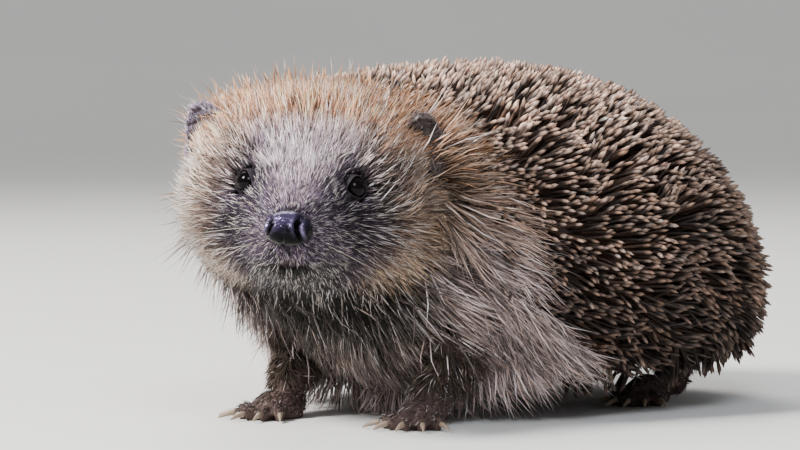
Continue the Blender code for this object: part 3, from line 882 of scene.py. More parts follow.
def spaced(points, spacing, most):
    """Indices of points that keep their distance from those before them."""
    cells, kept = {}, []
    keys = np.floor(points / spacing).astype(int)
    near = [(x, y, z) for x in (-1, 0, 1) for y in (-1, 0, 1) for z in (-1, 0, 1)]
    limit = spacing * spacing
    for index, (x, y, z) in enumerate(keys.tolist()):
        point = points[index]
        clear = True
        for i, j, k in near:
            for other in cells.get((x + i, y + j, z + k), ()):
                d = point - points[other]
                if d[0] * d[0] + d[1] * d[1] + d[2] * d[2] < limit:
                    clear = False
                    break
            if not clear:
                break
        if clear:
            cells.setdefault((x, y, z), []).append(index)
            kept.append(index)
            if len(kept) >= most:
                break
    return np.array(kept)


def room_above(tree, point, normal, gap):
    """How far the solids go on above a place, passing over the clearances between them."""
    past_face = 0.01 * MM
    travelled, left = 0.0, 0.0
    place = point
    for _ in range(8):
        hit, facing, _, distance = tree.ray_cast(place, normal, ROOM_REACH - travelled)
        if hit is None:
            break
        travelled += distance + past_face
        if facing.dot(normal) > 0:
            left = travelled
        elif travelled - left > gap and left > 0:
            break
        place = hit + normal * past_face
    return left


# ---------------------------------------------------------------- strands

OFF_FLOOR = 0.5 * MM
STRAND_MAP = 0.003  # the width of a strand's patch in the bake map

def turned(vectors, axes, angles):
    """Vectors turned about axes that stand square to them."""
    return vectors * np.cos(angles)[:, None] + np.cross(axes, vectors) * np.sin(angles)[:, None]


def gather(roots, share):
    """Groups the roots in tufts round one in so many of them."""
    points = roots["point"]
    leaders = max(1, len(points) // share)
    tree = KDTree(leaders)
    for k in range(leaders):
        tree.insert(points[k], k)
    tree.balance()
    roots["tuft"] = np.array([tree.find(p)[1] for p in points])


def strand_faces(sides, segments):
    """The faces of one strand, rings drawn to a tip, and the places of its points in its own small map."""
    tip = segments * sides
    faces = []
    for ring in range(segments - 1):
        for k in range(sides):
            a, b = ring * sides + k, ring * sides + (k + 1) % sides
            faces += [(a, b, b + sides), (a, b + sides, a + sides)]
    top = (segments - 1) * sides
    faces += [(top + k, top + (k + 1) % sides, tip) for k in range(sides)]
    faces += [(0, k + 1, k) for k in range(1, sides - 1)]
    places = []
    for ring in range(segments):
        places += [(k / (sides - 1) - 0.5, ring / segments - 0.5) for k in range(sides)]
    return np.array(faces), np.array(places + [(0, 0.5)])


def strands(name, roots, length, width, colours, bends, sides=3, segments=3, steps=None, profile=None,
            clump=0.0, wave=0.0, fill=1.0):
    """One mesh of solid strands, each a tube drawn to a point.

    Bends are the rises at the root and at the tip, as shares of the slope that would fill the room. Steps are
    the rings' places along a strand, and the profile its thickness there as a share of the width. Clump draws
    the tips of a tuft together, and wave makes them sway.
    """
    rng = roots["rng"]
    point, normal, lie = roots["point"], roots["normal"], roots["lie"]
    count = len(point)
    tall = np.clip(fill * roots["room"] / length, 0.06, 0.93)
    first = np.clip(tall * bends[0], 0.04, 0.97)
    last = np.clip(tall * bends[1], -0.2, 0.97)
    start = lie * np.sqrt(1 - first**2)[:, None] + normal * first[:, None]
    end = lie * np.sqrt(1 - last**2)[:, None] + normal * last[:, None]
    side = unit(np.cross(normal, lie))
    pull = (point[roots["tuft"]] - point) * clump if clump else np.zeros_like(point)
    phase = rng.uniform(0, 2 * math.pi, count) * 0.3 + waves(point, 9 * MM, 5) * 3
    if steps is None:
        steps = np.arange(segments + 1) / segments
    if profile is None:
        profile = np.interp(steps, (0, 0.35, 0.75, 1), (0.75, 1, 0.62, 0))
    turns = np.arange(sides) * 2 * math.pi / sides + math.pi / 2
    rings, tints = [], []
    for step, thick in zip(steps, profile):
        middle = point + length[:, None] * (start * (step - step**2 / 2) + end * step**2 / 2)
        middle += pull * step**1.5
        middle += side * (wave * length * step * np.sin(phase + step * 5))[:, None]
        tangent = unit(start * (1 - step) + end * step)
        across = unit(np.cross(tangent, normal))
        above = np.cross(across, tangent)
        if step < 1:
            for turn in turns:
                offset = across * math.cos(turn) + above * math.sin(turn)
                rings.append(middle + offset * (width * thick / 2)[:, None])
        else:
            rings.append(middle)
        tints += [colours(step)] * (sides if step < 1 else 1)
    points = np.stack(rings, 1)
    points[..., 2] = np.maximum(points[..., 2], OFF_FLOOR)
    tints = np.stack(tints, 1)
    per = points.shape[1]
    faces, places = strand_faces(sides, len(steps) - 1)
    uv = roots["uv"][:, None, None] + places[faces][None] * STRAND_MAP
    all_faces = (faces[None] + (np.arange(count) * per)[:, None, None]).reshape(-1, 3)
    if inside_out(points[0], faces):
        all_faces = all_faces[:, ::-1]
        uv = uv[:, :, ::-1]
    return make_mesh(name, points.reshape(-1, 3), all_faces, uv=uv.reshape(-1, 2), tint=tints.reshape(-1, 3))


def hair_colours(roots, spread, pale, root_shade, tip_light, by_tuft):
    """The coat's marking, with its painted light and shade, at each root, varied hair by hair and tuft by
    tuft, darker at the root as painted shade.

    Spread is how much hairs differ, pale the share of cream hairs, and root_shade and tip_light the tones at
    either end, the root's darker tone being painted shade.
    """
    rng = roots["rng"]
    base = markings_and_painted_light(roots["point"], roots["normal"], roots["kind"], roots["at"])
    tone = rng.normal(0, spread, len(base)) + 0.2 * waves(roots["point"], 4 * MM, 11)
    light = rng.random(len(base)) < pale
    dark_tufts = rng.random(len(base)) < 0.34
    tone += by_tuft * np.where(dark_tufts, -1.9, 0.7)[roots["tuft"]]
    base = base * np.exp(tone)[:, None]
    base = np.where(light[:, None], blend(base, CREAM, 0.55), base)
    base = base * (1 + rng.normal(0, 0.04, (len(base), 1)) * np.array((1, 0, -1)))
    return lambda step: np.clip(base * np.interp(step, (0, 0.5, 1), (root_shade, 1, tip_light)), 0.003, 0.92)


def stray(roots, spread, ripple, size):
    """Turns the lie by a random angle and by a smooth ripple over the skin."""
    angle = roots["rng"].normal(0, spread, len(roots["point"])) + ripple * waves(roots["point"], size, 7)
    roots["lie"] = turned(roots["lie"], roots["normal"], angle)


# ---------------------------------------------------------------- materials

EYE_DEEP, EYE_PALE = (0.0008, 0.0006, 0.0008), (0.003, 0.002, 0.002)
CLAW_DARK, CLAW_PALE = (0.16, 0.11, 0.075), (0.42, 0.33, 0.24)
FLOOR_DARK, FLOOR_PALE = (0.66, 0.65, 0.63), (0.70, 0.69, 0.67)

class Socket:
    """A node's output, with arithmetic that adds Math nodes."""

    def __init__(self, tree, socket):
        self.tree, self.socket = tree, socket

    def math(self, operation, other):
        made = self.tree.nodes.new("ShaderNodeMath")
        made.operation = operation
        for slot, value in zip(made.inputs, (self, other)):
            if isinstance(value, Socket):
                self.tree.links.new(value.socket, slot)
            else:
                slot.default_value = value
        return Socket(self.tree, made.outputs[0])

    def __add__(self, other):
        return self.math("ADD", other)

    def __mul__(self, other):
        return self.math("MULTIPLY", other)


class Material:
    """A Principled material, its nodes made one by one."""

    def __init__(self, name, **constants):
        self.made = bpy.data.materials.new(name)
        self.made.use_nodes = True
        self.tree = self.made.node_tree
        self.shader = self.tree.nodes["Principled BSDF"]
        for key, value in constants.items():
            self.shader.inputs[key.replace("_", " ")].default_value = value

    def node(self, kind, settings=None, output=0, **values):
        """A node with its settings and inputs. An input is named, or is i and its number."""
        made = self.tree.nodes.new(kind)
        for key, value in (settings or {}).items():
            setattr(made, key, value)
        for key, value in values.items():
            slot = made.inputs[int(key[1:])] if key[0] == "i" and key[1:].isdigit() else made.inputs[key]
            if isinstance(value, Socket):
                self.tree.links.new(value.socket, slot)
            else:
                slot.default_value = value
        return Socket(self.tree, made.outputs[output])

    def feed(self, name, value):
        self.tree.links.new(value.socket, self.shader.inputs[name])

    def place(self):
        return self.node("ShaderNodeTexCoord", output=3)

    def noise(self, scale, detail=3.0, vector=None):
        return self.node("ShaderNodeTexNoise", Vector=vector or self.place(), Scale=scale, Detail=detail)

    def tint(self):
        return self.node("ShaderNodeAttribute", {"attribute_name": TINT})

    def shade(self, colour, low, high, factor):
        """The colour times a grey between low and high."""
        grey = self.node("ShaderNodeMapRange", i0=factor, i3=low, i4=high)
        return self.node("ShaderNodeVectorMath", {"operation": "SCALE"}, i0=colour, Scale=grey)

    def mixed(self, factor, first, second):
        """A colour between two, by a factor."""
        return self.node("ShaderNodeMix", {"data_type": "RGBA"}, output=2, i0=factor, i6=(*first, 1),
                         i7=(*second, 1))

    def bump(self, height, strength, distance):
        self.feed("Normal", self.node("ShaderNodeBump", Height=height, Strength=strength, Distance=distance))


def hair_material(name, roughness, specular):
    material = Material(name, Roughness=roughness, Specular_IOR_Level=specular)
    material.feed("Base Color", material.shade(material.tint(), 0.82, 1.16, material.noise(260.0)))
    return material.made


def skin_material():
    material = Material("skin", Roughness=0.72, Specular_IOR_Level=0.3)
    material.feed("Base Color", material.shade(material.tint(), 0.7, 1.2, material.noise(420.0)))
    fine = material.node("ShaderNodeTexVoronoi", Vector=material.place(), Scale=1100.0)
    material.bump(fine + material.noise(900.0) * 0.6, 0.5, 0.25 * MM)
    return material.made


def eye_material():
    material = Material("eye", Roughness=0.02, IOR=1.19)
    material.feed("Base Color", material.mixed(material.noise(900.0), EYE_DEEP, EYE_PALE))
    return material.made


def nose_material():
    material = Material("nose", Specular_IOR_Level=0.16, Metallic=0.55)
    place = material.place()
    pebble = material.node("ShaderNodeTexVoronoi", {"feature": "SMOOTH_F1"}, Vector=place, Scale=1500.0)
    broad = material.noise(300.0, 4.0, place)
    material.feed("Base Color", material.shade(material.tint(), 0.6, 1.3, broad))
    material.feed("Roughness", material.node("ShaderNodeMapRange", i0=broad, i3=0.12, i4=0.36))
    material.bump(pebble * -1.0 + broad * 0.5, 0.75, 0.22 * MM)
    return material.made


def claw_material():
    material = Material("claw", Roughness=0.35, Specular_IOR_Level=0.5)
    streak = material.noise(500.0, 5.0)
    material.feed("Base Color", material.mixed(streak, CLAW_DARK, CLAW_PALE))
    material.bump(streak, 0.3, 0.1 * MM)
    return material.made


def finish_piece(obj, material, slot, *nodes):
    """Gives a piece its material, says what it rides on and hides the nodes that it stands for. Its slot is
    not used.
    """
    obj.data.materials.clear()
    obj.data.materials.append(material)
    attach(obj, "root")
    if nodes:
        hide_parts(*nodes)


# ---------------------------------------------------------------- skin and coat

skin, sources = build_skin()
surface = Surface(skin, sources)
behind, aside, up = head_place_mm(surface.points)
body = surface.kind == ON_BODY
spiny = surface.spiny
mouth = hump(up, -8.8, 1.1) * (1 - smooth(2.2, 4.6, np.abs(aside))) * (1 - smooth(8, 12, behind))
philtrum = hump(aside, 0, 0.6) * smooth(-9, -8, up) * (1 - smooth(-5, -4, up)) * (1 - smooth(6, 9, behind))


def paint_skin():
    """The coat's markings and painted light and shade on the skin, darker, with the bare parts in their own
    colours.
    """
    tint = markings_and_painted_light(surface.points, surface.normals, surface.kind, surface.at)
    tint = blend(tint * 0.42, SKIN_UNDER_COAT, np.where(spiny > 0, 0.85, 0.25)[:, None])
    tint = blend(tint, MOUTH, (np.clip(mouth * 1.3, 0, 1) * body)[:, None])
    tint = blend(tint, LID * 0.2, (np.clip(philtrum, 0, 1) * body)[:, None])
    for kind, colour in ((ON_LID, LID * 0.4), (ON_PAW, PAW_SKIN), (ON_EAR, EAR_SKIN)):
        tint = np.where((surface.kind == kind)[:, None], colour, tint)
    paint(skin.data, tint)


paint_skin()
LIMBS = ("ear", "foreleg", "hindleg", "forepaw", "hindpaw")
flesh_nodes = [*FLESH, "spine_coat", "tail"] + [f"{limb}_{side}" for side in SIDES for limb in LIMBS]
finish_piece(skin, skin_material(), "body_fur", *flesh_nodes)


def gap_from(points, place):
    return np.linalg.norm(points - place, axis=-1)


def eye_gap(points, ahead=0.0):
    """How far each point is from the nearer eye, or from a place that far ahead of the eye."""
    return np.minimum(*[gap_from(points, eye_centres[side] + gaze(side) * ahead) for side in SIDES])


def past_eyes():
    """0 in and round the opening of each eye, and 1 over the rest of the skin."""
    to_eyes = np.stack([surface.points - eye_centres[side] for side in SIDES])
    nearer = (np.linalg.norm(to_eyes, axis=-1).argmin(0), np.arange(len(surface.points)))
    along_gaze = dot(unit(to_eyes), np.stack([gaze(side) for side in SIDES])[:, None])[nearer]
    return np.maximum(smooth(3.7 * MM, 4.6 * MM, eye_gap(surface.points)), smooth(0.3, 0.05, along_gaze))


crown = body * spiny * (1 - smooth(56 * MM, 70 * MM, surface.at))
past_nose = smooth(4.3 * MM, 6.0 * MM, gap_from(surface.points, nose_centre))
past_mouth = 1 - np.clip(np.maximum(mouth, philtrum) * 1.4, 0, 1)

fur_material = hair_material("fur", 0.62, 0.35)
spine_material = hair_material("spines", 0.55, 0.22)

# The most strands in each layer of the coat, and how far apart the spines keep.
QUILLS, QUILL_SPACING = 8700, 1.4 * MM
CREST_SPINES, CREST_SPACING = 5600, 0.58 * MM
FACE_HAIRS, FACE_SEEDS = 13000, (301, 302, 303)
FLANK_HAIRS, FLANK_SEEDS = 8000, (401, 402, 403)
VEIL_HAIRS = {"left": 1100, "right": 200}
# Lengths, widths and rooms of the hair, against the place along the middle line.
CREST_ROOM = ((20, 1.5), (28, 3.2), (38, 5.8), (46, 6.8), (54, 8.2), (64, 9.8), (76, 11.5))
CREST_LENGTH = ((20, 5), (30, 8.5), (38, 11), (46, 13), (60, 15))
FACE_LENGTH = ((3, 1.7), (8, 3.0), (16, 4.8), (26, 7.5), (36, 11), (50, 15))
FACE_WIDTH = ((3, 0.17), (16, 0.24), (30, 0.33), (50, 0.46))
FACE_LIFT = ((20, 1.4), (30, 2.8), (38, 4.6), (50, 6))
FLANK_LENGTH = ((34, 12), (44, 16), (56, 20), (84, 23), (110, 20), (140, 13), (234, 11))
# Rings along a quill, with its thickness there, and the painted shade that darkens the quills lower down,
# lifting with the height above the floor.
QUILL_STEPS = np.array((0, 0.2, 0.5, 0.79, 0.92, 1))
QUILL_PROFILE = (0.45, 0.85, 0.95, 1.0, 0.85, 0)
QUILL_PAINTED_SHADE = ((15, 35, 50, 65, 78, 90), (0.11, 0.18, 0.31, 0.47, 0.63, 0.78))
QUILL_SHAFT, QUILL_BAND, QUILL_TIP = linear(90, 69, 57), linear(50, 37, 31), linear(206, 171, 151)
# Base, middle and tip of the crest's spines, by the forehead and further back.
BROW_COLOURS = linear(100, 81, 76), linear(160, 141, 138), linear(195, 182, 180)
CREST_COLOURS = linear(92, 62, 44), linear(140, 98, 70), linear(206, 154, 115)
FINE_PROFILE = (0.8, 1.0, 0)


def grow_quills():
    """The spines of the back: brown, with a dark band under a pale tip, crossing one another a little."""
    behind_fur = past_edge(surface.points, surface.at - 3 * MM, 5 * MM)
    density = body * spiny * smooth(58 * MM, 72 * MM, surface.at) * behind_fur
    roots, rng, count = surface.scatter(QUILLS, density, 101, QUILL_SPACING)
    gather(roots, 7)
    stray(roots, 0.3, 0.15, 16 * MM)
    roots["lie"] = turned(roots["lie"], roots["normal"], rng.normal(0, 0.5, count)[roots["tuft"]])
    level = roots["point"][:, 2]
    front = 1 - smooth(62 * MM, 84 * MM, roots["at"])
    roots["room"] = np.minimum(roots["room"], blend(20 * MM, 11 * MM, front))
    length = np.minimum(rng.uniform(14, 18, count) * MM, np.maximum(roots["room"] * 1.14, 9 * MM))
    width = rng.uniform(0.95, 1.35, count) * MM * blend(1, 0.55, front)
    warm = np.exp(rng.normal(0, 0.24, count))[:, None]
    warm = warm * (1 + rng.normal(0, 0.06, (count, 1)) * np.array((1, 0, -1)))
    # Painted shade: quills darker lower down on the body, and darker still towards the rump.
    shade = np.interp(level / MM, *QUILL_PAINTED_SHADE)
    shade = (shade * blend(1, 0.8, smooth(140 * MM, 200 * MM, roots["at"])))[:, None]
    dark_at = rng.uniform(0.46, 0.58, count)
    pale_at = rng.uniform(0.83, 0.89, count)
    patch = np.exp(rng.normal(0.05, 0.3, count)[roots["tuft"]])[:, None]
    band = blend(QUILL_BAND, QUILL_SHAFT, 0.85 * front[:, None])

    def colours(step):
        to_band = smooth(dark_at - 0.08, dark_at + 0.05, step)[:, None]
        to_tip = smooth(pale_at - 0.03, pale_at + 0.03, step)[:, None]
        banded = blend(blend(QUILL_SHAFT, band, to_band), QUILL_TIP, to_tip)
        # The tip takes the full painted shade, and the shaft and band take less of it.
        return np.clip(banded * warm * patch * shade ** blend(0.45, 1, to_tip), 0.003, 0.9)

    left = roots["point"][:, 0] > 0
    low = smooth(40 * MM, 24 * MM, level)
    tall = rng.uniform(0.82, 1.04, count) * blend(1, 0.75, front) * blend(1, 0.6, low)
    for side, here in (("left", left), ("right", ~left)):
        part = {key: value[here] for key, value in roots.items() if key not in ("rng", "tuft")}
        part["rng"] = rng
        tint = lambda step, here=here: colours(step)[here]
        made = strands(f"quills_{side}", part, length[here], width[here], tint, (1.1, 0.9), sides=4,
                       steps=QUILL_STEPS, profile=QUILL_PROFILE, fill=tall[here])
        finish_piece(made, spine_material, "spines")


def grow_crest():
    """The slim tan spines that stand up over the brow, shorter and paler where the forehead's hair ends."""
    facing_up = smooth(0.0, 0.45, surface.normals[:, 2])
    start = smooth(20 * MM, 40 * MM, surface.at) * facing_up * smooth(12, 18, up)
    density = body * start * (1 - smooth(58 * MM, 86 * MM, surface.at)) * blend(0.8, 1, spiny)
    roots, rng, count = surface.scatter(CREST_SPINES, density, 202, CREST_SPACING)
    stray(roots, 0.3, 0.25, 10 * MM)
    gather(roots, 4)
    reach = smooth(27 * MM, 46 * MM, roots["at"] + 2 * MM * waves(roots["point"], 5 * MM, 21))
    roots["room"] = table(CREST_ROOM, roots["at"])
    length = rng.uniform(0.8, 1.15, count) * table(CREST_LENGTH, roots["at"])
    width = rng.uniform(0.4, 0.62, count) * MM * blend(0.75, 1.1, reach)
    warm = np.exp(rng.normal(0, 0.3, count) + rng.normal(-0.1, 0.32, count)[roots["tuft"]])[:, None]
    pale = (rng.random(count) < 0.2)[:, None]
    base, middle, tip = (blend(*pair, reach[:, None]) for pair in zip(BROW_COLOURS, CREST_COLOURS))
    dark = (rng.random(count) < 0.3)[roots["tuft"]][:, None]
    middle = np.where(dark, middle * 0.3, middle)
    tip = np.where(pale, blend(tip, CREAM, 0.7), tip)

    def colours(step):
        along = blend(blend(base * 0.4, middle, smooth(0.05, 0.6, step)), tip, smooth(0.55, 0.95, step))
        return np.clip(along * warm, 0.003, 0.9)

    made = strands("crest", roots, length, width, colours, (1.2, 0.9), sides=4, segments=4,
                   fill=rng.uniform(0.75, 1.05, count), clump=0.4)
    finish_piece(made, spine_material, "spines")


def off_eyes(roots, length):
    """Lengths cut back where a hair would lie over an eye."""
    tips = roots["point"] + roots["lie"] * length[:, None] * 0.85
    for share in (0.5, 1.0):
        gap = eye_gap(blend(roots["point"], tips, share), MM)
        length = length * blend(0.22, 1.0, smooth(3.4 * MM, 4.8 * MM, gap))
    return length


def grow_face():
    """Short hair over the face, shortest by the nose, out to the brow and over the front of the ears."""
    density = (body | (surface.kind == ON_LID)) * past_nose * past_eyes() * past_mouth
    density = density * (1 - smooth(46 * MM, 60 * MM, surface.at))
    density = density * blend(2.4, 1.0, smooth(8 * MM, 30 * MM, surface.at))
    for number, seed in enumerate(FACE_SEEDS, 1):
        roots, rng, count = surface.scatter(FACE_HAIRS, density, seed)
        stray(roots, 0.15, 0.22, 7 * MM)
        gather(roots, 4)
        _, aside, up = head_place(roots["point"])
        outer = smooth(13 * MM, 20 * MM, np.abs(aside)) * smooth(25 * MM, 36 * MM, roots["at"])
        length = table(FACE_LENGTH, roots["at"]) + 4 * MM * outer
        by_eye = smooth(3.5 * MM, 8 * MM, eye_gap(roots["point"]))
        length = length * rng.uniform(0.7, 1.2, count) * blend(0.4, 1.0, by_eye)
        length = off_eyes(roots, np.where(roots["kind"] == ON_LID, np.minimum(length, 1.2 * MM), length))
        for side, least in (("left", 0.5), ("right", 0.28)):
            ear_gap = gap_from(roots["point"], node_centre(f"ear_{side}"))
            length *= blend(least, 1.0, smooth(11 * MM, 19 * MM, ear_gap))
        width = table(FACE_WIDTH, roots["at"]) * rng.uniform(0.7, 1.25, count)
        colours = hair_colours(roots, 0.4, 0.2, 0.1, 1.5, 0.5)
        lifted = table(FACE_LIFT, roots["at"]) * smooth(10 * MM, 18 * MM, up)
        roots["room"] = np.clip(roots["room"], lifted, 6 * MM)
        made = strands(f"face_hair_{number}", roots, length, width, colours, (1.5, 0.75), segments=2,
                       profile=FINE_PROFILE, clump=0.6, wave=0.03, fill=rng.uniform(0.8, 1.5, count))
        finish_piece(made, fur_material, "face_fur")


def grow_veils():
    """Long hairs from the temples that part over the front of each ear."""
    for number, side in enumerate(SIDES):
        centre = node_centre(f"ear_{side}")
        ear_behind, ear_aside, ear_up = (float(value[0]) for value in head_place_mm(centre[None]))
        ahead, inward, below = ear_behind - behind, (ear_aside - aside) * np.sign(ear_aside), ear_up - up
        density = body * smooth(1, 4, ahead) * smooth(19, 12, ahead) * smooth(25, 31, behind)
        density = density * smooth(-4, 1, inward) * smooth(14, 8, inward)
        density = density * smooth(-8, -1, below) * smooth(22, 14, below)
        roots, rng, count = surface.scatter(VEIL_HAIRS[side], density, 611 + number)
        way = unit(centre + (0, 0, 5 * MM) - roots["point"])
        roots["lie"] = unit(way - roots["normal"] * dot(way, roots["normal"])[:, None])
        stray(roots, 0.2, 0.25, 8 * MM)
        gather(roots, 4)
        length = rng.uniform(7.5, 12, count) * MM
        width = rng.uniform(0.28, 0.5, count) * MM
        roots["room"] = np.full(count, 6 * MM)
        colours = hair_colours(roots, 0.35, 0.12, 0.12, 1.4, 0.45)
        made = strands(f"ear_veil_{side}", roots, length, width, colours, (1.3, 0.9), clump=0.5, wave=0.04,
                       fill=rng.uniform(0.7, 1.2, count))
        finish_piece(made, fur_material, "face_fur")


def grow_flanks():
    """Long coarse hair in wavy locks from the cheeks back over neck, flanks and chest."""
    below = smooth(-0.2, 0.3, -surface.normals[:, 2])
    start = smooth(30 * MM, 52 * MM, surface.at + 4 * MM * waves(surface.points, 11 * MM, 31))
    edge = 1 - past_edge(surface.points, surface.at - 5 * MM, 6 * MM) * spiny
    density = body * edge * start * blend(1.0, 0.3, smooth(120 * MM, 140 * MM, surface.at))
    density = density * blend(1.0, 0.6, below) * (1 - start * crown)
    for number, seed in enumerate(FLANK_SEEDS, 1):
        roots, rng, count = surface.scatter(FLANK_HAIRS, density, seed)
        stray(roots, 0.13, 0.24, 14 * MM)
        gather(roots, 11)
        by_ear = smooth(11 * MM, 20 * MM, gap_from(roots["point"], node_centre("ear_right")))
        length = table(FLANK_LENGTH, roots["at"]) * rng.uniform(0.65, 1.15, count) * blend(0.35, 1.0, by_ear)
        width = rng.uniform(0.32, 0.66, count) * MM
        colours = hair_colours(roots, 0.28, 0.09, 0.18, 1.6, 0.46)
        roots["room"] = np.minimum(roots["room"], 8 * MM)
        made = strands(f"flank_hair_{number}", roots, length, width, colours, (1.5, 0.75), clump=0.7,
                       wave=0.05, fill=rng.uniform(0.8, 1.3, count))
        finish_piece(made, fur_material, "body_fur")


def grow_limbs():
    """Short hair on legs and tail, shorter on the paws, a fine fuzz on the ears."""
    kind = surface.kind
    over_toes = surface.points[:, 2] > 2.2 * MM
    sets = (
        ("leg_hair", (kind == ON_LEG) | (kind == ON_TAIL), 6500, (3.5, 6.0), (0.22, 0.36), "body_fur"),
        ("paw_hair", (kind == ON_PAW) & over_toes, 6000, (1.3, 2.8), (0.16, 0.26), "paw_skin"),
        ("ear_hair", kind == ON_EAR, 4500, (1.6, 3.4), (0.12, 0.2), "ear_skin"),
    )
    for number, (name, where, hairs, lengths, widths, slot) in enumerate(sets):
        roots, rng, count = surface.scatter(hairs, where.astype(float), 500 + number)
        stray(roots, 0.3, 0.2, 8 * MM)
        length = rng.uniform(*lengths, count) * MM
        width = rng.uniform(*widths, count) * MM
        roots["room"] = np.minimum(roots["room"], 2.2 * MM)
        gather(roots, 4)
        colours = hair_colours(roots, 0.25, 0.05, 0.35, 1.25, 0.2)
        made = strands(name, roots, length, width, colours, (1.4, 0.7), segments=2, profile=FINE_PROFILE,
                       clump=0.3, fill=1.2)
        finish_piece(made, fur_material, slot)


grow_quills()
grow_crest()
grow_face()
grow_veils()
grow_flanks()
grow_limbs()


# ---------------------------------------------------------------- eyes, nose, claws

NOSE_AROUND, NOSE_RINGS = 176, 116
NOSE_HALF = (6.3, 4.6, 4.6)  # half the width, depth and height, in millimetres
NOSE_TURN = 1.2  # how far the pad's middle is turned to the animal's right, in millimetres
# The nose's own near black, a painted reflection of the sky for the top of its pad, and a painted highlight
# for the nostrils' curled wings.
NOSE_DARK, NOSE_SKY_REFLECTION, NOSE_WING_HIGHLIGHT = linear(5, 4, 5), linear(66, 58, 84), linear(134, 120, 158)
# Painted shade in the nostrils' hollows.
NOSTRIL_SHADE = np.array((0.002, 0.0015, 0.002))


def build_eyes():
    """The two eyeballs, near black and wet."""
    material = eye_material()
    for side in SIDES:
        eye = ball(f"eyeball_{side}", eye_centres[side], EYE_RADIUS, 72, 48, gaze(side))
        finish_piece(eye, material, "eye", f"eye_{side}")


def powered(value, exponent):
    """A power that keeps the sign, which squares off a round shape."""
    return np.sign(value) * np.abs(value) ** exponent


def build_nose():
    """The nose pad, turned a little to the animal's right, between two comma nostrils and their wings."""
    tilt = np.linspace(0, math.pi, NOSE_RINGS + 1)[1:-1][:, None]
    turn = (np.arange(NOSE_AROUND) * 2 * math.pi / NOSE_AROUND)[None]
    aside = NOSE_HALF[0] * powered(np.sin(tilt) * np.cos(turn), 0.9)
    front = NOSE_HALF[1] * powered(np.cos(tilt) * np.ones_like(turn), 0.82)
    up = NOSE_HALF[2] * powered(np.sin(tilt) * np.sin(turn), 0.86)
    grid = np.stack([aside, front, up], -1) * MM
    normals = grid_normals(grid)
    across = aside + NOSE_TURN
    wing = np.abs(across)
    ahead = smooth(0.2, 1.8, front)
    lane = np.interp(up, (-2.5, -0.5, 1.2, 3.2), (4.7, 3.9, 3.6, 4.2))
    hollow = hump(wing, lane, 1.0) * hump(up, 2.0, 1.5) * ahead
    slit = hump(wing, lane, 0.42) * smooth(-3.0, -1.6, up) * smooth(2.8, 1.4, up) * ahead
    curl = hump(wing, lane + 1.15, 0.5) * hump(up, 0.2, 1.7) * ahead
    rim = hump(wing, lane - 1.3, 0.6) * hump(up, 1.4, 2.0) * ahead
    groove = hump(across, 0, 0.3) * smooth(0.2, -2.5, up) * ahead
    flat = smooth(3.2, 2.0, wing) * hump(up, 1.6, 1.6) * smooth(0.5, 2.5, front)
    shift = 0.5 * curl + 0.3 * rim - 1.9 * hollow - 1.1 * slit - 0.35 * groove - 0.35 * flat
    grid = grid + normals * (shift * MM)[..., None]
    axes = np.stack([head_left, head_forward, head_up])
    middle = nose_centre - head_forward * 0.6 * MM
    ends = (middle + ring.mean(0) @ axes for ring in (grid[0], grid[-1]))
    made = closed_grid("nose_pad", middle + grid @ axes, *ends)
    # Painted reflection of the sky over the top of the pad, dimmed over the animal's left wing, with a
    # painted highlight along the nostrils' curled rims.
    blue = smooth(-0.8, 2.4, up + 0.5 * waves(grid, 2.2 * MM, 9))[..., None]
    tint = blend(NOSE_DARK, NOSE_SKY_REFLECTION, blue)
    tint = tint * (1 - 0.72 * smooth(2.4, 4.4, across))[..., None]
    tint = blend(tint, NOSE_WING_HIGHLIGHT, np.clip(1.2 * curl + 0.4 * rim, 0, 1)[..., None] * 0.62)
    # The nostrils' hollows are painted near black, as shade.
    tint = blend(tint, NOSTRIL_SHADE, np.clip(1.4 * (hollow + slit), 0, 1)[..., None])
    paint(made.data, np.vstack([tint.reshape(-1, 3), tint[0].mean(0), tint[-1].mean(0)]))
    finish_piece(made, nose_material(), "nose_skin", "nose")


def build_claws():
    """The twenty claws as one piece, smoothed from their solids."""
    nodes = [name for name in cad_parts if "claw" in name]
    made = merged_copy("claws", nodes)
    apply_modifier(made, "SUBSURF", levels=1, render_levels=1)
    shade_smooth(made.data)
    finish_piece(made, claw_material(), "claw", *nodes)


build_eyes()
build_nose()
build_claws()


# ---------------------------------------------------------------- whiskers

WHISKERS_A_SIDE = 6
WHISKER_WIDTH = 0.16 * MM
PALE_WHISKER, DARK_WHISKER = linear(185, 175, 160), linear(37, 30, 29)


def grow_whiskers():
    """A few long single hairs on either side of the muzzle."""
    rng = np.random.default_rng(77)
    aims = []
    for side in (-1, 1):
        for _ in range(WHISKERS_A_SIDE):
            behind = rng.uniform(6, 15) * MM
            up = rng.uniform(-6, 1) * MM
            level = nose_centre - head_forward * behind + head_up * up
            aims.append((level + head_left * side * 30 * MM, side))
    tree = BVHTree.FromPolygons([Vector(p) for p in surface.points], surface.faces.tolist())
    found = []
    for aim, side in aims:
        hit, normal, _, _ = tree.ray_cast(Vector(aim), Vector(-head_left * side), 40 * MM)
        if hit is None:
            continue
        lie = head_left * side * 0.6 - head_forward * rng.uniform(0.4, 1.1) - head_up * rng.uniform(0.1, 0.9)
        found.append((hit, normal, unit(lie)))
    points, normals, lies = (np.array(values) for values in zip(*found))
    count = len(points)
    roots = {"point": points, "normal": normals, "lie": unit(lies - normals * dot(lies, normals)[:, None]),
             "room": np.full(count, 16 * MM), "uv": np.full((count, 2), 0.5), "rng": rng}
    length = rng.uniform(16, 27, count) * MM
    width = np.full(count, WHISKER_WIDTH)
    colour = np.where(rng.random(count)[:, None] < 0.6, PALE_WHISKER, DARK_WHISKER)
    made = strands("whiskers", roots, length, width, lambda step: colour, (1.0, 0.5), segments=8)
    finish_piece(made, fur_material, "face_fur")


grow_whiskers()


# ---------------------------------------------------------------- camera, lights and floor

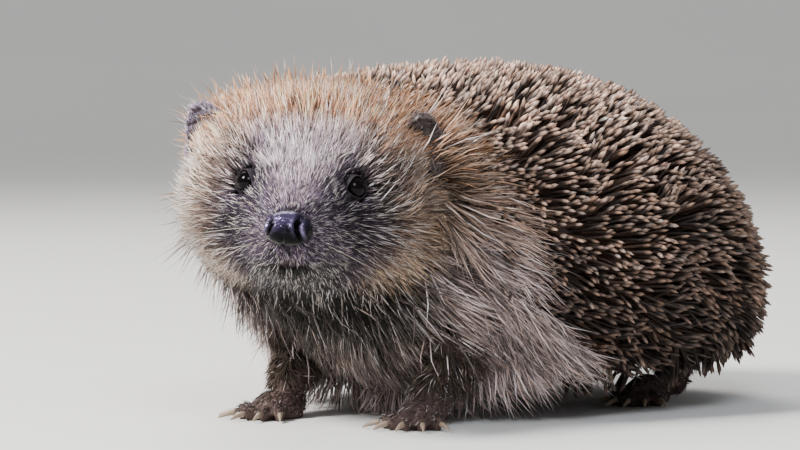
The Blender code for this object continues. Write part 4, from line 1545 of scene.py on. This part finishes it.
CAMERA_AZIMUTH, CAMERA_ELEVATION = math.radians(35), math.radians(3)
CAMERA_DISTANCE, LENS, SENSOR = 1144 * MM, 200, 36
CAMERA_ASIDE, CAMERA_RAISE = 28.6 * MM, 1.0 * MM
LIT_PLACE = Vector((0, -0.02, 0.06))
# Each light's place towards the camera, to the camera's right and up, with its size, power and colour.
LIGHTS = {
    "key": ((0.6, -0.9, 0.88), 0.45, 52, (1, 0.98, 0.95)),
    "face": ((0.9, 0.1, 0.62), 0.42, 8, (0.88, 0.93, 1)),
    "rim": ((-0.8, -0.2, 0.9), 0.7, 12, (1, 0.99, 0.97)),
}
WORLD_COLOUR, WORLD_STRENGTH = (0.84, 0.86, 0.9, 1), 0.54
# The floor runs flat from the front to a bend, and up behind the model, in metres.
FLOOR_FRONT, BEND_START, BEND_DEPTH, BACK_HEIGHT, FLOOR_HALF_WIDTH = 5.0, 1.6, 1.8, 7.0, 7


def place_camera():
    """The camera, in front of the head and a little above it. Gives its axes to the right and to the back."""
    right = Vector((math.cos(CAMERA_AZIMUTH), math.sin(CAMERA_AZIMUTH), 0))
    level = Vector((right.y, -right.x, 0))
    back = level * math.cos(CAMERA_ELEVATION) + Vector((0, 0, math.sin(CAMERA_ELEVATION)))
    up = back.cross(right)
    camera = bpy.data.cameras.new("camera")
    camera.lens, camera.sensor_width = LENS, SENSOR
    camera.clip_start, camera.clip_end = 0.05, 20
    obj = put_in_scene("camera", camera)
    turn = Matrix((right, up, back)).transposed()
    spot = Vector(nose_centre) + back * CAMERA_DISTANCE + right * CAMERA_ASIDE + up * CAMERA_RAISE
    obj.matrix_world = Matrix.Translation(spot) @ turn.to_4x4()
    bpy.context.scene.camera = obj
    return right, back


def add_light(name, spot, size, power, colour):
    """A soft round light, turned to the model."""
    light = bpy.data.lights.new(name, "AREA")
    light.shape, light.size, light.energy, light.color = "DISK", size, power, colour
    obj = put_in_scene(name, light)
    obj.location = spot
    obj.rotation_euler = (LIT_PLACE - spot).to_track_quat("-Z", "Y").to_euler()


def build_stage(right, back):
    """The floor, curved up behind, with the lights and the world's soft glow."""
    level = Vector((back.x, back.y, 0)).normalized()
    bend = np.linspace(0, math.pi / 2, 17)
    run = np.concatenate([[-FLOOR_FRONT], BEND_START + BEND_DEPTH * np.sin(bend), [BEND_START + BEND_DEPTH]])
    rise = np.concatenate([[0.0], BEND_DEPTH - BEND_DEPTH * np.cos(bend), [BACK_HEIGHT]])
    rows = np.stack([-level.x * run, -level.y * run, rise], -1)
    wide = np.array((right.x, right.y, 0)) * FLOOR_HALF_WIDTH
    points = np.concatenate([rows - wide, rows + wide])
    many = len(rows)
    faces = [(k, k + many, k + many + 1, k + 1) for k in range(many - 1)]
    floor = make_mesh("floor", points, faces)
    material = Material("floor", Roughness=0.85)
    material.feed("Base Color", material.mixed(material.noise(6.0, 2.0), FLOOR_DARK, FLOOR_PALE))
    floor.data.materials.append(material.made)
    for name, ((to_back, to_right, height), size, power, colour) in LIGHTS.items():
        spot = LIT_PLACE + back * to_back + right * to_right + Vector((0, 0, height))
        add_light(name, spot, size, power, colour)
    world = bpy.data.worlds.new("studio")
    world.use_nodes = True
    background = world.node_tree.nodes["Background"]
    background.inputs["Color"].default_value = WORLD_COLOUR
    background.inputs["Strength"].default_value = WORLD_STRENGTH
    bpy.context.scene.world = world


build_stage(*place_camera())
